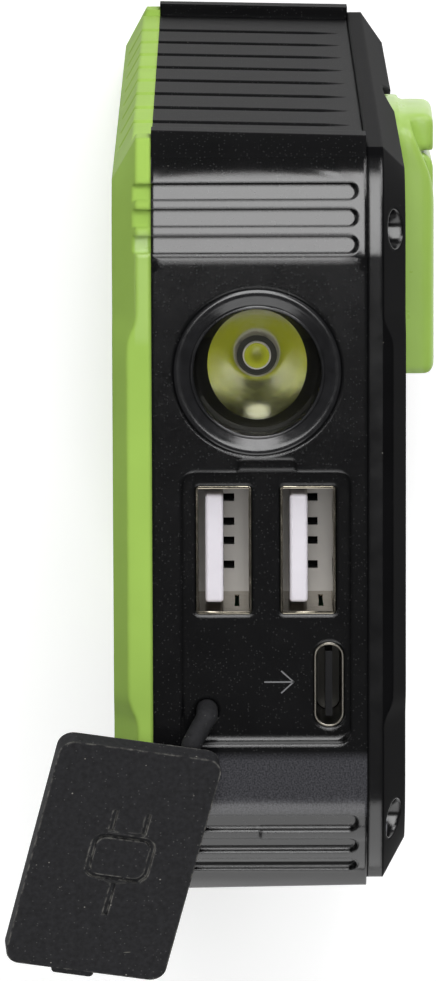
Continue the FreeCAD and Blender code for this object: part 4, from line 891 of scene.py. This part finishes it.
class POWERBANK_OT_port_cover(bpy.types.Operator):
    """Builds the open rubber cover and its stem"""
    bl_idname = "powerbank.port_cover"
    bl_label = "Port cover"

    def execute(self, context):
        look = context.scene.powerbank_cover
        rubber = dusty_rubber(look)
        yaw, droop, roll = (math.radians(a) for a in FLAP_TURN)
        place = (Matrix.Translation(FLAP_ROOT * MM) @ Matrix.Rotation(yaw, 4, "Z")
                 @ Matrix.Rotation(droop, 4, "Y") @ Matrix.Rotation(roll, 4, "X"))
        length, width, thick = FLAP_SIZE
        slab = block(round_rectangle(0, length, -width / 2, width / 2, FLAP_CORNER, 8), -thick, 0)
        *sides, level = TAB
        tab = block(round_rectangle(*sides, TAB_CORNER, 4), -thick + 0.02, level)
        made = placed("flap", combined(slab, [tab], "UNION"))
        rounded(made, look.rim, 4, 50)
        slab = settled(made)

        # a sunk plug: body, the start of its lead and two pins; its cutters stand 1 mm out of the face
        depth = look.mark_depth / MM
        middle, across = length * 0.5, PLUG_ACROSS
        first, last, half = PLUG_BODY
        outer_corner, inner_corner, line_corner = PLUG_CORNERS
        outer = block(round_rectangle(middle + first, middle + last, across - half, across + half,
                                      outer_corner), -depth, 1)
        inner = block(round_rectangle(middle + first + PLUG_STROKE, middle + last - PLUG_STROKE,
                                      across - half + PLUG_STROKE, across + half - PLUG_STROKE,
                                      inner_corner), -2, 2)
        cutters = [combined(outer, [inner], "DIFFERENCE")]
        for x0, x1, y in PLUG_BARS:
            cutters.append(block(round_rectangle(middle + x0, middle + x1, across + y - PLUG_STROKE / 2,
                                                 across + y + PLUG_STROKE / 2, line_corner), -depth, 1))
        slab = combined(slab, cutters, "DIFFERENCE")
        slab.transform(place)
        flap = show("rubber_flap", slab, rubber, "flap", 40)
        evened(flap)
        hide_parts("port_cover")

        foot, bend, end = (Vector(p) for p in STEM_PATH)
        path = [foot + Vector((0, 0, 1.3 * i)) for i in range(5)]
        before = bend - Vector((0, 0, STEM_EASE))
        after = bend + (end - bend).normalized() * STEM_EASE
        for index in range(7):
            share = index / 6
            path.append(before * (1 - share) ** 2 + bend * 2 * share * (1 - share) + after * share ** 2)
        path.append(end)
        (small, low), (large, high) = BARB
        barb = lathe([(0, low + 0.01), (small + 0.01, low + 0.01), (large, high), (0, high)],
                     Vector((foot.x, foot.y, 0)), 32)
        stem = combined(tube(path, STEM_RADIUS, STEM_NECK, 32), [barb], "UNION")
        stem = show("rubber_stem", stem, rubber, "stem", 50)
        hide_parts("cover_stem")
        return {"FINISHED"}


class POWERBANK_OT_crank(bpy.types.Operator):
    """Dresses the crank's arm, grip and shaft"""
    bl_idname = "powerbank.crank"
    bl_label = "Crank"

    def execute(self, context):
        look = context.scene.powerbank_shell
        green = green_abs(look, "lime_green_abs_polished", look.edge * 6)
        skinned("crank_arm", green, "crank")
        skinned("crank_grip", green, "grip")
        dress(turned_steel(), "crank_shaft", "grip_pin", "idler_axle", "rotor_shaft")
        return {"FINISHED"}


class POWERBANK_OT_inside(bpy.types.Operator):
    """Dresses the gears, the generator, the battery and the boards' parts"""
    bl_idname = "powerbank.inside"
    bl_label = "Inside"

    def execute(self, context):
        # waxy white
        dress(plain("white_acetal_moulded", "D9D8D0", 0.4, 0.5, 0.004, 0.04), "drive_gear", "idler_gear")
        # clean yellow metal
        dress(plain("brass_turned", "B08D3C", 0.3, 0.4, 0.004, 0.08, 1.0), "rotor_pinion")
        # even grey metal
        dress(plain("steel_sheet_stamped", "A9AAAC", 0.35, 0.6, 0.004, 0.06, 1.0), "gear_plate",
              "generator_can")
        # red-brown metal under a varnish, ribbed by its turns
        dress(plain("enamelled_copper_wire", "9A4A24", 0.35, 0.5, 0.06, 0.15, 1.0), "generator_coil")
        # dull dark grey
        dress(plain("sintered_ferrite", "3A3A3C", 0.6, 0.3, 0.02, 0.1), "generator_magnet")
        # soft silver with faint creases
        dress(plain("aluminium_laminate_pouch", "B4B6BA", 0.4, 1.5, 0.02, 0.05, 1.0), "battery_cell")
        # black without a gleam, with open cells
        dress(plain("black_foam_tape", "262626", 0.9, 0.5, 0.08, 0.2), "battery_pad")
        # matt black
        dress(plain("black_epoxy_moulded", "1C1C1D", 0.55, 0.2, 0.008, 0.1), "charge_chips", "inductor")
        dress(black_nylon(), "button_switch")
        return {"FINISHED"}


class POWERBANK_OT_stage(bpy.types.Operator):
    """Adds the floor, the soft lamps and the camera"""
    bl_idname = "powerbank.stage"
    bl_label = "Stage"

    def execute(self, context):
        look = context.scene.powerbank_stage
        half, corner, thick = FLOOR
        floor = placed("floor", block(round_rectangle(-half, half, -half, half, corner, 12), -thick, 0))
        # matt white paper; to camera, metal and glass it glows a little as well
        made, tree, shader, place = start("white_paper_floor", look.floor, Roughness=0.9)
        patches(tree, place, shader, look.floor, 0.01, 60)
        path = add(tree, "LightPath")
        seen = path.outputs["Is Camera Ray"]
        for ray in ("Is Glossy Ray", "Is Transmission Ray"):
            seen = add(tree, "Math", {0: seen, 1: path.outputs[ray]}, operation="MAXIMUM")
        lift = add(tree, "Math", {0: seen, 1: FLOOR_GLOW}, operation="MULTIPLY")
        glow = add(tree, "Emission", {"Color": (1, 1, 1, 1), "Strength": lift})
        both = add(tree, "AddShader", {0: shader, 1: glow})
        surface(tree, both)
        floor.data.materials.append(made)

        world = bpy.data.worlds.new("soft_room")
        context.scene.world = world
        world.use_nodes = True
        tree = world.node_tree
        tree.nodes.clear()
        sky = add(tree, "Background", {"Color": (1, 1, 1, 1), "Strength": look.room_level})
        add(tree, "OutputWorld", {"Surface": sky})

        for name, lean, swing, distance, width, depth, radiance in LAMPS:
            light = bpy.data.lights.new(name, "AREA")
            light.shape = "RECTANGLE"
            light.size = width * MM
            light.size_y = depth * MM
            light.energy = radiance * math.pi * width * depth * MM * MM * look.lamp_level
            turn = (Matrix.Rotation(math.radians(-swing), 4, "X")
                    @ Matrix.Rotation(math.radians(-lean), 4, "Y"))
            placed(name, light).matrix_world = (Matrix.Translation((0, 0, LAMP_AIM * MM)) @ turn
                                                @ Matrix.Translation((0, 0, distance * MM)))

        eye = bpy.data.cameras.new("camera")
        eye.lens = CAMERA_LENS
        eye.sensor_width = 36
        eye.clip_start = 0.05
        eye.clip_end = 20
        camera = placed("camera", eye)
        camera.location = CAMERA_PLACE * MM
        camera.rotation_euler = [math.radians(a) for a in CAMERA_TURN]
        context.scene.camera = camera
        context.scene.view_settings.view_transform = "Standard"
        return {"FINISHED"}


class POWERBANK_PT_sidebar(bpy.types.Panel):
    """Lists the pieces and the stage"""
    bl_idname = "POWERBANK_PT_sidebar"
    bl_label = "Power bank"
    bl_space_type = "VIEW_3D"
    bl_region_type = "UI"
    bl_category = "Power bank"

    def draw(self, context):
        for name in LOOKS:
            look = getattr(context.scene, name)
            for prop in look.bl_rna.properties:
                if prop.identifier not in ("rna_type", "name"):
                    self.layout.prop(look, prop.identifier)
        for step in STEPS:
            self.layout.operator(step.bl_idname)


LOOKS = {"powerbank_shell": ShellLook, "powerbank_cover": CoverLook, "powerbank_torch": TorchLook,
         "powerbank_stage": StageLook}
STEPS = (POWERBANK_OT_case, POWERBANK_OT_solar_front, POWERBANK_OT_torch, POWERBANK_OT_ports,
         POWERBANK_OT_port_cover, POWERBANK_OT_crank, POWERBANK_OT_inside, POWERBANK_OT_stage)


def register():
    """Registers the classes and hangs the looks on the scene."""
    for kind in (*LOOKS.values(), *STEPS, POWERBANK_PT_sidebar):
        bpy.utils.register_class(kind)
    for name, kind in LOOKS.items():
        setattr(bpy.types.Scene, name, PointerProperty(type=kind))


def unregister():
    """Takes the looks and the classes away."""
    for name in LOOKS:
        delattr(bpy.types.Scene, name)
    for kind in (POWERBANK_PT_sidebar, *STEPS[::-1], *LOOKS.values()):
        bpy.utils.unregister_class(kind)


def main():
    """Builds every piece in order."""
    register()
    for step in STEPS:
        group, name = step.bl_idname.split(".")
        getattr(getattr(bpy.ops, group), name)()


if __name__ == "__main__":
    main()
